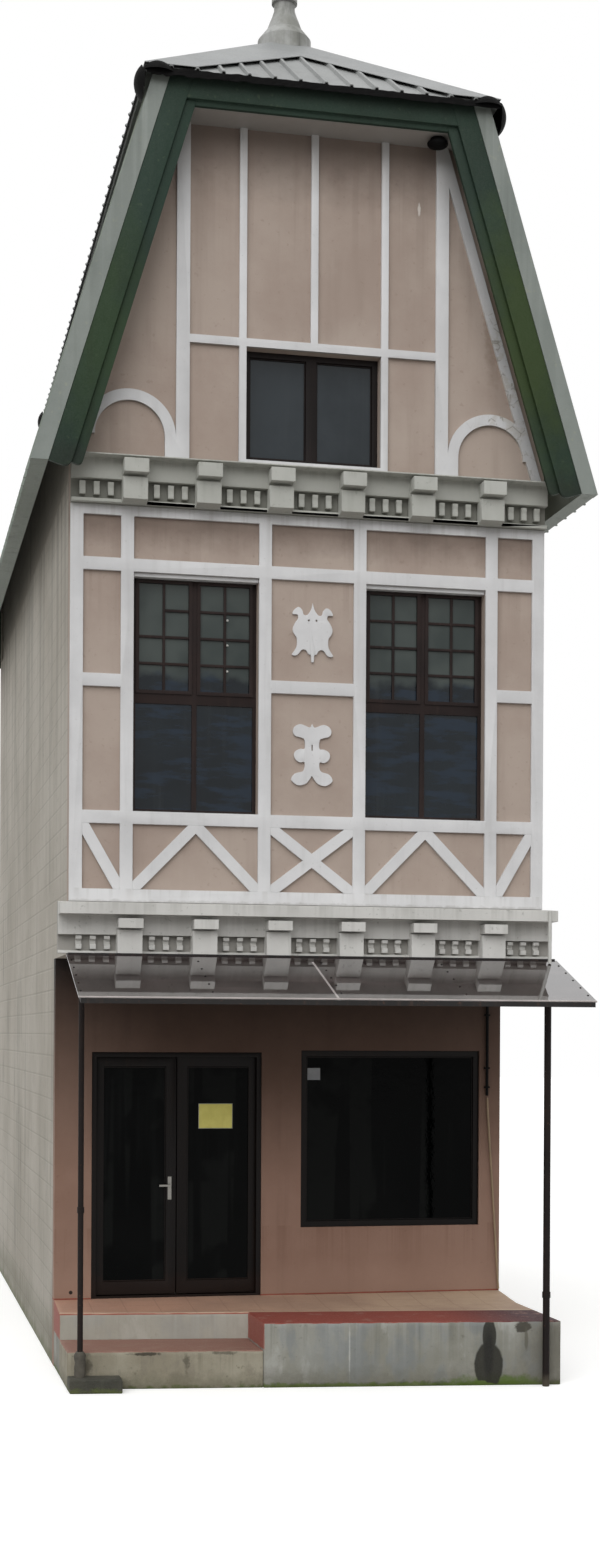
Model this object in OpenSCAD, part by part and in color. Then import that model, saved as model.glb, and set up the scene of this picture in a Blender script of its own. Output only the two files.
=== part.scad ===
// A narrow shop house from the middle of a row, with a timbered bay over its porch.
// X runs to the right along the front, Y runs into the house and Z is up from the ground.
// The origin is on the ground, midway along the front, below the face of the bay's timbers.

/* [House] */
// Width over the outer faces of the two party walls
house_w = 4200; // [3960:20:4500]
// Distance from the face of the bay's timbers to the outer face of the rear wall
house_d = 9000; // [7000:100:10500]
// Thickness of the brick walls with their plaster
wall_t = 150; // [110:5:200]
// Thickness of the concrete floors
floor_t = 150; // [110:5:200]
// Depth of the porch under the bay
porch_d = 1170; // [900:10:1400]
// Level of the ground floor
ground_z = 620; // [520:10:700]
// Level of the underside of the bay
bay_z = 3684; // [3500:10:3900]

/* [Porch] */
// Height of the raised porch at its front edges
porch_h = 550; // [450:10:560]
// Fall of the porch's floor from the wall to the riser
porch_fall = 50; // [0:5:50]
// Distance that the high block stands out in front of the bay
block_out = 295; // [200:5:400]
// Distance from the face of the bay to the upper riser
riser_y = 410; // [300:10:500]
// Distance from the middle of the front to the side of the high block
block_side = 450; // [300:10:550]
// Slant of the porch's front edges, as a share of the distance across the house
porch_slant = 0.12; // [0:0.01:0.14]
// Height of the low step
step_h = 320; // [200:5:400]
// Width of the rough pad under the left post
pad_w = 440; // [300:10:500]
// Distance that the pad stands out in front of the high block's line
pad_out = 205; // [120:5:240]
// Height of the pad
pad_h = 120; // [60:5:160]

/* [Shop front] */
// Width of the pair of doors with their frame
door_w = 1568; // [1300:10:1700]
// Height of the pair of doors over the back of the porch
door_h = 2240; // [2100:10:2500]
// Distance from the middle of the front to the door frame
door_side = 197; // [150:5:260]
// Visible width of the door frame
jamb_w = 45; // [40:1:60]
// Depth of the frame's stop in front of the leaves
stop_d = 34; // [25:1:50]
// Overlap of the frame's stop on the leaves
stop_w = 12; // [8:1:15]
// Thickness of a leaf
leaf_t = 42; // [36:1:50]
// Width of the stile on the hinged side of a leaf
hinge_stile_w = 82; // [70:1:100]
// Width of the stile where the leaves meet
meeting_stile_w = 93; // [80:1:110]
// Height of a leaf's top rail
top_rail_h = 92; // [70:1:120]
// Height of a leaf's bottom rail
bottom_rail_h = 118; // [90:1:200]
// Running gap at the edges of the leaves
leaf_gap = 6; // [5:0.5:8]
// Gap between the closed leaves
meeting_gap = 9; // [9:0.5:14]
// Height of the handle over the ground floor
handle_up = 1000; // [950:10:1100]
// Width of the shop window
shop_w = 1720; // [1400:10:1800]
// Height of the shop window
shop_h = 1640; // [1400:10:1700]
// Level of the shop window's sill
shop_z = 1220; // [1000:10:1300]
// Distance of the shop window in from the end of the wall
shop_end = 204; // [160:2:260]
// Face width of the shop window's frame
shop_frame_w = 55; // [40:1:80]

/* [Bay] */
// Width of the posts and rails on the bay
timber_w = 110; // [90:2:120]
// Distance that the timbers stand proud of the plaster
timber_t = 30; // [20:1:40]
// Width of the panels at the two ends
side_panel_w = 320; // [280:5:360]
// Width of the two windows
win_w = 1085; // [950:5:1120]
// Height of the two windows
win_h = 2034; // [1900:2:2100]
// Height of the braced panels under the windows
brace_h = 555; // [480:5:600]
// Height of the panels over the windows
head_h = 360; // [300:5:420]
// Width of the top rail
head_rail_w = 85; // [70:1:110]
// Height of the middle rails over the window sill
mid_rail_up = 1050; // [900:10:1150]
// Face width of the window frames
win_frame_w = 32; // [25:1:45]
// Face width of the stiles and rails of the casements
sash_w = 30; // [24:1:40]
// Width of the mullions
mullion_w = 42; // [35:1:60]
// Height of the transom over the window sill
transom_up = 940; // [850:10:1000]
// Height of the transom
transom_h = 85; // [60:1:110]
// Width of the glazing bars
bar_w = 22; // [16:1:28]
// Depth of the window frames
frame_d = 55; // [50:1:70]
// Distance of the window frames behind the plaster
frame_in = 95; // [40:1:100]
// Thickness of the glass
glass_t = 6; // [4:1:8]
// Height of the upper ornament between the windows
upper_ornament_h = 513; // [400:1:560]
// Height of the lower ornament
lower_ornament_h = 550; // [400:1:580]

/* [Cornices] */
// Height of the cornice below the bay
low_cornice_h = 442; // [400:2:500]
// Height of the cornice above the bay
high_cornice_h = 390; // [370:2:430]
// Distance that the lower cornice runs on past the left party wall
cornice_left = 95; // [0:5:100]
// Distance that it runs on past the right party wall
cornice_right = 60; // [0:5:100]
// Distance that a cornice's top band stands out
cornice_out = 250; // [200:5:300]
// Width of a bracket
bracket_w = 210; // [160:5:260]
// Number of brackets on a cornice
bracket_n = 6; // [4:1:8]
// Distance from the end of the bay to the middle of the lower cornice's first bracket
bracket_in = 500; // [440:5:560]
// The same distance on the upper cornice
high_bracket_in = 530; // [440:5:560]
// Width of the small blocks between the brackets
dentil_w = 50; // [30:1:60]
// Distance between the middles of the small blocks
dentil_step = 120; // [90:1:125]

/* [Canopy] */
// Distance that the canopy stands out
canopy_out = 1190; // [1000:10:1300]
// Drop of the canopy from back to front
canopy_drop = 375; // [250:5:450]
// Distance that the canopy runs past the left end of the bay
canopy_left = 35; // [0:5:90]
// Distance that the canopy runs past the right end of the bay
canopy_right = 75; // [0:5:90]
// Thickness of the sheet
canopy_t = 8; // [5:1:12]
// Size of the canopy's square tubes
tube_w = 40; // [30:1:50]
// Diameter of the left post
left_post_d = 48; // [40:1:60]
// Diameter of the right post
right_post_d = 60; // [48:1:70]
// Distance of the left post in from the end of the bay
left_post_in = 100; // [60:5:200]
// Distance of the right post in from the end of the bay
right_post_in = 150; // [80:5:250]
// Distance of the posts' middles in front of the high block's line
post_out = 65; // [50:5:90]

/* [Gable] */
// Width of the attic window
gable_win_w = 1194; // [1000:2:1300]
// Height of the attic window
gable_win_h = 970; // [850:5:1050]
// Height of the sill board under the attic window
gable_sill_h = 70; // [50:5:100]
// Width of the outer posts on the gable
gable_post_w = 115; // [80:5:125]
// Width of the thin posts and the rail on the gable
thin_post_w = 63; // [50:1:80]
// Distance from the end of the bay to the inner sides of the outer posts
gable_post_in = 1010; // [980:5:1100]
// Inner radius of the two arches
arch_r = 300; // [250:5:310]
// Width of the arches' bands
arch_w = 95; // [70:1:100]
// Distance from the end of the bay to the middle of an arch
arch_in = 500; // [490:2:510]
// Height of the arches' springing over the cornice
arch_up = 210; // [150:5:260]

/* [Roof] */
// Distance that the steep roof's foot stands out past a party wall
foot_out = 220; // [150:5:260]
// Level of the steep roof's foot
foot_z = 7740; // [7650:10:7800]
// Distance of the steep roofs' head in from the end of the bay
head_in = 760; // [650:10:850]
// Level of the steep roofs' head
head_z = 10950; // [10700:10:11100]
// Width of the steep roof's edge as seen from the front
skin_w = 140; // [100:2:160]
// Distance that the roof stands out in front of the timbers
verge_out = 310; // [280:5:400]
// Width of the outer verge board as seen from the front
barge_w = 195; // [150:1:210]
// Width of the inner moulding of the verge board
moulding_w = 90; // [50:1:100]
// Thickness of the verge boards
barge_t = 40; // [30:1:50]
// Width of the white boards along the gable's slopes
rake_w = 90; // [70:1:110]
// Distance of the white boards in from the steep roof's underside
rake_in = 197; // [150:1:230]
// Overhang of the hipped roof past the head of the steep roofs
hip_over = 205; // [190:5:260]
// Height of the hipped roof's eaves over the head of the steep roofs
hip_up = 85; // [60:5:140]
// Rise of the hipped roof
hip_rise = 1195; // [1000:5:1400]
// Depth in plan of the hipped roof's end slopes
hip_run = 1780; // [1500:10:2100]
// Upright thickness of the roof sheets with their battens
sheet_t = 45; // [30:1:60]
// Height of the ribs on the sheets
rib_h = 26; // [18:1:35]
// Distance between the ribs on the hipped roof
rib_step = 220; // [160:5:300]
// Distance between the seams on the steep roofs
seam_step = 250; // [160:5:350]
// Width of the folded cappings to each side of a hip, at the eaves
cap_w = 300; // [200:5:400]
// The same width at the top of the hip
cap_head_w = 540; // [300:5:600]
// Thickness of the metal trim
metal_t = 6; // [4:1:8]
// Radius of the hoods on the hipped roof's corners
hood_r = 190; // [180:1:215]
// Height of the finial over the ridge
finial_h = 850; // [600:10:1000]
// Diameter of the finial's skirt
skirt_d = 495; // [400:5:600]

/* [Hidden] */
$fn = 48;

half = house_w / 2;
inner = half - wall_t;
plaster_y = timber_t;
bay_back = plaster_y + wall_t;
sill_z = porch_h + porch_fall;
shop_y = plaster_y + porch_d;
shop_back = shop_y + wall_t;
rear_in = house_d - wall_t;
seat_gap = 0.3;
plaster_white = "gainsboro";
timber_white = "white";
taupe = "tan";
brown = [0.16, 0.12, 0.11];
green = [0.23, 0.29, 0.23];

// Levels on the bay, from the lower cornice up
bay_foot = bay_z + low_cornice_h;
brace_z = bay_foot + timber_w;
sill_rail_z = brace_z + brace_h;
win_z = sill_rail_z + timber_w;
win_top = win_z + win_h;
head_panel_z = win_top + timber_w;
head_rail_z = head_panel_z + head_h;
bay_top = head_rail_z + head_rail_w;
gable_z = bay_top + high_cornice_h;
gable_win_z = gable_z + gable_sill_h;
mid_rail_z = win_z + mid_rail_up;

// Places across the bay, from its end in
end_post_x = half - timber_w;
window_out = end_post_x - side_panel_w - timber_w;
window_in = window_out - win_w;
centre_x = window_in - timber_w;

// Lines of the roof: a rake of the steep roof and the pitch of the hipped roof
foot_x = half + foot_out;
head_x = half - head_in;
hip_z = head_z + hip_up;
rake = (foot_x - head_x) / (head_z - foot_z);
hip_half = head_x + hip_over;
eave_out = 60;
hip_front = -verge_out - barge_t - eave_out;
hip_back = house_d - hip_front;
pitch_side = hip_rise / hip_half;
pitch_end = hip_rise / hip_run;
side_angle = atan(pitch_side);
end_angle = atan(pitch_end);
function rake_x(z, out = 0) = head_x + out + (head_z - z) * rake;
function rake_z(x, out = 0) = head_z - (x - head_x - out) / rake;
// Level at which a rake meets the underside of the hipped roof
function seat_z(out = 0) =
    (hip_z - sheet_t + (hip_over - out - head_z * rake) * pitch_side) / (1 - rake * pitch_side);
ridge_z = hip_z + hip_rise;
apex_y = hip_front + hip_run;
rear_apex_y = hip_back - hip_run;
soffit_drop = 160;
soffit_z = head_z - soffit_drop;

// Stands a drawing of the front up, with its front face at y and its depth t
module upright(y, t) {
    translate([0, y + t, 0]) rotate([90, 0, 0]) linear_extrude(t) children();
}

// Draws a section through the house and runs it along X from x for a length w
module along_x(x, w) {
    translate([x, 0, 0]) rotate([90, 0, 90]) linear_extrude(w) children();
}

module rect(x0, z0, x1, z1) {
    translate([x0, z0]) square([x1 - x0, z1 - z0]);
}

module block(low, high) {
    translate(low) cube(high - low);
}

module both_sides() {
    children();
    mirror([1, 0, 0]) children();
}

// Turns pieces of the front round to the rear, so that their plane y comes to the rear face
module to_rear(y) {
    translate([0, house_d + y, 0]) mirror([0, 1, 0]) children();
}

// Porch and floors. Its front edges slant: y is where such an edge crosses the middle of the house
function slanted(x, y) = y - x * porch_slant;

module slanted_block(x0, x1, y0, y1, h) {
    linear_extrude(h) polygon([[x0, slanted(x0, y0)], [x1, slanted(x1, y0)],
        [x1, slanted(x1, y1)], [x0, slanted(x0, y1)]]);
}

module porch_block() {
    door_x0 = -door_side - door_w;
    front = slanted(half, -block_out);
    level_to = slanted(-half, riser_y);
    color("rosybrown") intersection() {
        linear_extrude(sill_z) polygon([[-half, level_to],
            [-block_side, slanted(-block_side, riser_y)], [-block_side, slanted(-block_side, -block_out)],
            [half, front], [half, shop_y], [-door_side, shop_y],
            [-door_side, shop_back], [door_x0, shop_back], [door_x0, shop_y], [-half, shop_y]]);
        along_x(-half, house_w) polygon([[front, 0], [front, porch_h], [level_to, porch_h],
            [shop_y, sill_z], [shop_back, sill_z], [shop_back, 0]]);
    }
}

step_in = 10;

module low_step() {
    color(plaster_white) slanted_block(-half, -block_side, -block_out + step_in, riser_y, step_h);
}

module post_pad() {
    color("gray") slanted_block(-half, -half + pad_w, -block_out - pad_out, -block_out + step_in, pad_h);
}

module ground_slab() {
    color("silver") block([-inner, shop_back, ground_z - floor_t], [inner, rear_in, ground_z]);
}

module upper_slab(top) {
    color("silver") block([-inner, bay_back, top - floor_t], [inner, rear_in, top]);
}

module first_floor() {
    upper_slab(bay_z + floor_t);
}

module attic_floor() {
    upper_slab(gable_z);
}

// Walls; a party wall steps in under the foot of the steep roof
wall_step = 20;

module party_wall_right() {
    step_z = foot_z - wall_step;
    color(plaster_white) difference() {
        upright(bay_back, rear_in - bay_back)
            polygon([[inner, 0], [half, 0], [half, step_z], [half - wall_step, step_z],
                [half - wall_step, rake_z(half - wall_step, -seat_gap)], [inner, rake_z(inner, -seat_gap)]]);
        block([inner - 1, bay_back - 1, -1], [half + 1, shop_back, bay_z]);
    }
}

module party_wall_left() {
    mirror([1, 0, 0]) party_wall_right();
}

module front_wall_left() {
    color(taupe) upright(shop_y, wall_t) rect(-half, 0, -door_side - door_w, bay_z);
}

module front_wall_over_door() {
    color(taupe) upright(shop_y, wall_t)
        rect(-door_side - door_w, sill_z + door_h, -door_side, bay_z);
}

module front_wall_right() {
    color(taupe) upright(shop_y, wall_t) difference() {
        rect(-door_side, 0, half, bay_z);
        translate([shop_side, shop_z]) square([shop_w, shop_h]);
    }
}

module bay_window_holes() {
    for (x = [-window_out, window_in]) translate([x, win_z]) square([win_w, win_h]);
}

module gable_window_hole() {
    translate([-gable_win_w / 2, gable_win_z]) square([gable_win_w, gable_win_h]);
}

module bay_wall() {
    color(taupe) upright(plaster_y, wall_t) difference() {
        rect(-half, bay_z, half, gable_z);
        bay_window_holes();
    }
}

// Outline of a gable wall, cut to the undersides of the steep and hipped roofs, where its outer
// face is the given distance behind the eaves
module gable_outline(behind) {
    under = sheet_t + seat_gap;
    top = hip_z + behind * pitch_end - under;
    top_x = hip_half - (top - hip_z + under) / pitch_side;
    neck = seat_z(-seat_gap) - seat_gap;
    neck_x = rake_x(neck, -seat_gap);
    end_z = rake_z(half, -seat_gap);
    polygon([[half, gable_z], [half, end_z], [neck_x, neck], [top_x, top], [-top_x, top],
        [-neck_x, neck], [-half, end_z], [-half, gable_z]]);
}

module gable_wall() {
    color(taupe) upright(plaster_y, wall_t) difference() {
        gable_outline(plaster_y - hip_front);
        gable_window_hole();
    }
}

module rear_ground_wall() {
    color(plaster_white) upright(rear_in, wall_t) difference() {
        rect(-half, 0, half, bay_z);
        translate([-shop_w / 2, shop_z]) square([shop_w, shop_h]);
    }
}

module rear_upper_wall() {
    color(plaster_white) upright(rear_in, wall_t) difference() {
        union() {
            rect(-half, bay_z, half, gable_z);
            gable_outline(-hip_front);
        }
        bay_window_holes();
        gable_window_hole();
    }
}

// Doors
door_x = -door_side - door_w;
frame_set = 10;
frame_y = shop_y + frame_set;
leaf_y = frame_y + stop_d + leaf_gap;
leaf_back = leaf_y + leaf_t;
opening_x = door_x + jamb_w;
door_mid = door_x + door_w / 2;
leaf_edge = opening_x - stop_w;
leaf_w = door_mid - meeting_gap / 2 - leaf_edge;
sill_gap = 2;
leaf_foot = ground_z + leaf_gap + sill_gap;
leaf_head = sill_z + door_h - jamb_w + stop_w - leaf_gap;
pin_d = 12;
pin_gap = 0.3;
knuckle_d = 22;
knuckle_h = 45;
knuckle_gap = 1;
strap_w = 45;
strap_t = 4;
hinge_x = leaf_edge - leaf_gap / 2;
frame_strap_w = hinge_x - door_x - 1;
hinge_y = leaf_back + knuckle_d / 2;
hinge_in = 200;
hinge_levels = [leaf_foot + hinge_in, (leaf_foot + leaf_head) / 2, leaf_head - hinge_in];

module mirrored_leaf() {
    translate([2 * door_mid, 0, 0]) mirror([1, 0, 0]) children();
}

module door_frame() {
    color(brown) difference() {
        block([door_x, frame_y, sill_z], [door_x + door_w, leaf_back, sill_z + door_h]);
        block([opening_x, frame_y - 1, ground_z],
            [2 * door_mid - opening_x, leaf_back + 1, sill_z + door_h - jamb_w]);
        block([leaf_edge - leaf_gap, leaf_y - leaf_gap, ground_z],
            [2 * door_mid - leaf_edge + leaf_gap, leaf_back + 1, leaf_head + leaf_gap]);
    }
}

// Pin with its two fixed knuckles, which the leaf's own knuckle turns between
module fixed_knuckles(z) {
    translate([hinge_x, hinge_y, z]) {
        cylinder(d = pin_d, h = 3 * knuckle_h, center = true);
        for (s = [-1, 1]) translate([0, 0, s * (knuckle_h + knuckle_gap)]) {
            cylinder(d = knuckle_d, h = knuckle_h, center = true);
            translate([-frame_strap_w, -knuckle_d / 2, -knuckle_h / 2])
                cube([frame_strap_w, strap_t, knuckle_h]);
        }
    }
}

module door_hinges() {
    color("dimgray") {
        for (z = hinge_levels) fixed_knuckles(z);
        mirrored_leaf() for (z = hinge_levels) fixed_knuckles(z);
    }
}

module leaf() {
    difference() {
        union() {
            block([leaf_edge, leaf_y, leaf_foot], [leaf_edge + leaf_w, leaf_back, leaf_head]);
            for (z = hinge_levels) translate([hinge_x, hinge_y, z]) {
                cylinder(d = knuckle_d, h = knuckle_h, center = true);
                translate([0, -knuckle_d / 2, -knuckle_h / 2]) cube([strap_w, strap_t, knuckle_h]);
            }
        }
        block([leaf_edge + hinge_stile_w, leaf_y - 1, leaf_foot + bottom_rail_h],
            [leaf_edge + leaf_w - meeting_stile_w, leaf_back + 1, leaf_head - top_rail_h]);
        for (z = hinge_levels) translate([hinge_x, hinge_y, z])
            cylinder(d = pin_d + 2 * pin_gap, h = knuckle_h + 2, center = true);
    }
}

module left_leaf() {
    color(brown) leaf();
}

module right_leaf() {
    color(brown) mirrored_leaf() leaf();
}

module leaf_glass() {
    mid_y = leaf_y + leaf_t / 2;
    color([0.1, 0.12, 0.13, 0.5])
        block([leaf_edge + hinge_stile_w, mid_y - glass_t / 2, leaf_foot + bottom_rail_h],
            [leaf_edge + leaf_w - meeting_stile_w, mid_y + glass_t / 2, leaf_head - top_rail_h]);
}

module left_leaf_glass() {
    leaf_glass();
}

module right_leaf_glass() {
    mirrored_leaf() leaf_glass();
}

// Back plate, neck and lever of the handle, on both faces of the left leaf
module handle_side() {
    plate_t = 6;
    neck = 38;
    plate = [34, 210];
    lever = [109, 14, 18];
    neck_d = 18;
    translate([-plate[0] / 2, -plate_t, -0.62 * plate[1]]) cube([plate[0], plate_t, plate[1]]);
    translate([0, -plate_t + 1, 0]) rotate([90, 0, 0]) cylinder(d = neck_d, h = neck);
    translate([neck_d / 2 - lever[0], -plate_t - neck, -lever[2] / 2]) cube(lever);
}

module door_handle() {
    color("silver") translate([leaf_edge + leaf_w - meeting_stile_w / 2 - 12, 0, ground_z + handle_up]) {
        translate([0, leaf_y, 0]) handle_side();
        translate([0, leaf_back, 0]) mirror([0, 1, 0]) handle_side();
    }
}

// Windows of the bay: two casements that stand a little proud, over two fixed lights
bay_frame_y = plaster_y + frame_in;
sash_out = 12;
sash_d = 42;
bar_d = 16;
bar_in = 10;
bar_cols = 2;
bar_rows = 4;
light_w = (win_w - 2 * win_frame_w - mullion_w) / 2;
low_light = [light_w, transom_up - win_frame_w];
casement_z = transom_up + transom_h;
casement_size = [light_w, win_h - win_frame_w - casement_z];
pane = casement_size - 2 * [sash_w, sash_w];
glass_y = bay_frame_y - sash_out + bar_in + bar_d;

module at_lights(z) {
    for (s = [0, 1]) translate([win_frame_w + s * (light_w + mullion_w), z]) children();
}

// Glazing bars over a light; the top one is lost from its first column where one is missing
module bars(size, missing = false) {
    col = size[0] / bar_cols;
    row = size[1] / bar_rows;
    for (i = [1 : bar_cols - 1]) translate([i * col - bar_w / 2, 0]) square([bar_w, size[1]]);
    for (j = [1 : bar_rows - 1]) {
        x0 = missing && j == bar_rows - 1 ? col : 0;
        translate([x0, j * row - bar_w / 2]) square([size[0] - x0, bar_w]);
    }
}

module bay_frame(missing = false) {
    upright(bay_frame_y, frame_d) difference() {
        square([win_w, win_h]);
        at_lights(win_frame_w) square(low_light);
        at_lights(casement_z) square(casement_size);
    }
    upright(bay_frame_y - sash_out, sash_d) at_lights(casement_z) difference() {
        square(casement_size);
        translate([sash_w, sash_w]) square(pane);
    }
    upright(glass_y - bar_d, bar_d) {
        translate([win_frame_w + sash_w, casement_z + sash_w]) bars(pane, missing);
        translate([win_frame_w + light_w + mullion_w + sash_w, casement_z + sash_w]) bars(pane);
    }
    upright(glass_y + glass_t, bar_d) at_lights(win_frame_w) bars(low_light);
}

module at_bay_windows() {
    for (x = [-window_out, window_in]) translate([x, 0, win_z]) children();
}

module bay_window_frames() {
    color(brown) {
        translate([-window_out, 0, win_z]) bay_frame(missing = true);
        translate([window_in, 0, win_z]) bay_frame();
    }
}

module bay_glass() {
    upright(glass_y, glass_t) {
        at_lights(win_frame_w) square(low_light);
        at_lights(casement_z) translate([sash_w, sash_w]) square(pane);
    }
}

module bay_window_glass() {
    color([0.1, 0.12, 0.13, 0.5]) at_bay_windows() bay_glass();
}

// Plain windows: a frame of one light, or of two where it has a mullion
module lights(w, h, face, mullion) {
    clear = mullion == 0 ? w - 2 * face : (w - 2 * face - mullion) / 2;
    for (x = mullion == 0 ? [face] : [face, w - face - clear])
        translate([x, face]) square([clear, h - 2 * face]);
}

module plain_frame(y, w, h, face, mullion) {
    upright(y, frame_d) difference() {
        square([w, h]);
        lights(w, h, face, mullion);
    }
}

module plain_glass(y, w, h, face, mullion) {
    upright(y + frame_d / 2, glass_t) lights(w, h, face, mullion);
}

shop_frame_y = shop_y + 2 * frame_set;
shop_side = half - shop_end - shop_w;
gable_frame_w = 50;
gable_mullion_w = 95;

module shop_window_frame() {
    color(brown) translate([shop_side, 0, shop_z])
        plain_frame(shop_frame_y, shop_w, shop_h, shop_frame_w, 0);
}

module shop_window_glass() {
    color([0.1, 0.12, 0.13, 0.5]) translate([shop_side, 0, shop_z])
        plain_glass(shop_frame_y, shop_w, shop_h, shop_frame_w, 0);
}

module at_gable_window() {
    translate([-gable_win_w / 2, 0, gable_win_z]) children();
}

module gable_window_frame() {
    color(brown) at_gable_window()
        plain_frame(bay_frame_y, gable_win_w, gable_win_h, gable_frame_w, gable_mullion_w);
}

module gable_window_glass() {
    color([0.1, 0.12, 0.13, 0.5]) at_gable_window()
        plain_glass(bay_frame_y, gable_win_w, gable_win_h, gable_frame_w, gable_mullion_w);
}

module rear_window_frames() {
    color(brown) {
        to_rear(plaster_y) {
            at_bay_windows() bay_frame();
            at_gable_window()
                plain_frame(bay_frame_y, gable_win_w, gable_win_h, gable_frame_w, gable_mullion_w);
        }
        to_rear(shop_y) translate([-shop_w / 2, 0, shop_z])
            plain_frame(shop_frame_y, shop_w, shop_h, shop_frame_w, gable_mullion_w);
    }
}

module rear_window_glass() {
    color([0.1, 0.12, 0.13, 0.5]) {
        to_rear(plaster_y) {
            at_bay_windows() bay_glass();
            at_gable_window()
                plain_glass(bay_frame_y, gable_win_w, gable_win_h, gable_frame_w, gable_mullion_w);
        }
        to_rear(shop_y) translate([-shop_w / 2, 0, shop_z])
            plain_glass(shop_frame_y, shop_w, shop_h, shop_frame_w, gable_mullion_w);
    }
}

// Timbers on the bay
module bay_timbers() {
    posts = [end_post_x, window_out, centre_x];
    color(timber_white) upright(0, timber_t) {
        for (x = posts) {
            rect(x, bay_foot, x + timber_w, bay_top);
            rect(-x - timber_w, bay_foot, -x, bay_top);
        }
        rect(-half, bay_foot, half, brace_z);
        rect(-half, sill_rail_z, half, win_z);
        rect(-half, win_top, half, head_panel_z);
        rect(-half, head_rail_z, half, bay_top);
        rect(-centre_x, mid_rail_z, centre_x, mid_rail_z + timber_w);
        rect(window_out, mid_rail_z, half, mid_rail_z + timber_w);
        rect(-half, mid_rail_z, -window_out, mid_rail_z + timber_w);
    }
}

brace_w = 95;

// Corners of a brace that rises from the corner a of its panel to the corner b
function brace_points(a, b) =
    let (d = b - a, side = brace_w / 2 * norm(d), u = side / d[1], v = side / abs(d[0]), s = sign(d[0]))
    [a, a + [s * u, 0], b - [0, v], b, b - [s * u, 0], a + [0, v]];

module peak(x0, x1) {
    middle = (x0 + x1) / 2;
    left = brace_points([x0, brace_z], [middle, sill_rail_z]);
    right = brace_points([x1, brace_z], [middle, sill_rail_z]);
    polygon([left[0], left[1], left[2], right[1], right[0], right[5], right[4], left[4], left[5]]);
}

module bay_braces() {
    color(timber_white) upright(0, timber_t) {
        polygon(brace_points([-window_out - timber_w, brace_z], [-end_post_x, sill_rail_z]));
        polygon(brace_points([window_out + timber_w, brace_z], [end_post_x, sill_rail_z]));
        for (s = [-1, 1]) polygon(brace_points([s * centre_x, brace_z], [-s * centre_x, sill_rail_z]));
        peak(-window_out, -window_in);
        peak(window_in, window_out);
    }
}

// Cut-out boards between the windows. Each is drawn by its right half, from the top round to the
// foot, as a smooth curve through a few points for a board of a known height
ornament_t = 20;
ornament_gap = 1065;
ornament_up = 40;
spear_drawn_h = 524;
spear_points = [[0, 262], [14, 204], [49, 156], [82, 156], [96, 196], [128, 221], [166, 198], [182, 158],
    [140, 154], [132, 120], [160, 80], [180, 25], [166, -20], [144, -50], [142, -112], [155, -150],
    [186, -202], [140, -204], [98, -156], [60, -158], [36, -192], [16, -200], [11, -256], [0, -262]];
lobes_drawn_h = 540;
lobe_points = [[0, 270], [11, 246], [30, 240], [100, 264], [150, 244], [168, 206], [150, 166], [96, 150],
    [66, 132], [64, 60], [104, 54], [146, 32], [156, -4], [140, -40], [104, -60], [66, -58], [66, -110],
    [86, -138], [150, -158], [180, -206], [152, -240], [112, -256], [56, -242], [24, -208], [0, -172]];

// Point at a share t of the way from the second to the third of four points of a curve
function on_curve(a, b, c, d, t) = 0.5 * (2 * b + (c - a) * t + (2 * a - 5 * b + 4 * c - d) * t * t
    + (3 * b - a - 3 * c + d) * t * t * t);

function smooth(p, steps) = [for (i = [0 : len(p) - 2], k = [0 : steps - 1])
    on_curve(p[max(i - 1, 0)], p[i], p[i + 1], p[min(i + 2, len(p) - 1)], k / steps)];

module cut_board(points, drawn_h, h) {
    right = smooth(points, 4);
    left = [for (i = [len(right) - 1 : -1 : 1]) [-right[i][0], right[i][1]]];
    scale(h / drawn_h) polygon(concat(right, [points[len(points) - 1]], left));
}

module wall_ornaments() {
    middle = win_z + win_h / 2 + ornament_up;
    color(timber_white) upright(plaster_y - ornament_t, ornament_t) {
        translate([0, middle + ornament_gap / 2]) difference() {
            cut_board(spear_points, spear_drawn_h, upper_ornament_h);
            for (s = [-1, 1]) translate([s * 34, 104]) circle(9);
        }
        translate([0, middle - ornament_gap / 2]) difference() {
            cut_board(lobe_points, lobes_drawn_h, lower_ornament_h);
            translate([-6, 42]) square([12, 50]);
        }
    }
}

// Cornices, with brackets in two steps and small blocks in the recesses between them
ledge_out = 70;
recess_out = 10;
frieze_out = 85;
dentil_h = 112;
dentil_out = 68;
dentil_waist = 30;
bracket_foot_out = 65;
bracket_neck_out = 105;
low_block_out = 170;
high_block_out = 235;
wash = 10;

// Runs a profile of [distance out, level] pairs along X from x for a length w
module run(x, w, profile) {
    along_x(x, w) polygon([for (p = profile) [-p[0], p[1]]]);
}

// Levels in a cornice are, from its foot: ledge, recess, frieze and top of the band. The top of the
// band falls towards its front edge
module cornice_run(x0, x1, levels, band_out, fall) {
    run(x0, x1 - x0, [[-plaster_y, 0], [ledge_out, 0], [ledge_out, levels[0] - wash],
        [recess_out, levels[0]], [recess_out, levels[1]], [frieze_out, levels[1]],
        [frieze_out, levels[2]], [band_out, levels[2]], [band_out, levels[3] - fall],
        [-plaster_y, levels[3]]]);
}

// A bracket's levels are the foot and head of its low block and of its high block; below them
// its underside slopes back to the foot of the cornice
module bracket(x, at) {
    run(x - bracket_w / 2, bracket_w, [[0, 0], [bracket_foot_out, 0], [low_block_out, at[0]],
        [low_block_out, at[1]], [bracket_neck_out, at[1]], [bracket_neck_out, at[2]],
        [high_block_out, at[2]], [high_block_out, at[3]], [0, at[3]]]);
}

// A small block stood in the recess, narrower at its waist
module dentil(x, foot, waist) {
    translate([0, 0, foot]) run(x - dentil_w / 2, dentil_w, [[0, 0], [dentil_out, 0],
        [dentil_out, 0.35 * dentil_h], [dentil_out - waist, 0.42 * dentil_h],
        [dentil_out - waist, 0.68 * dentil_h], [dentil_out, 0.75 * dentil_h],
        [dentil_out, dentil_h], [0, dentil_h]]);
}

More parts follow.
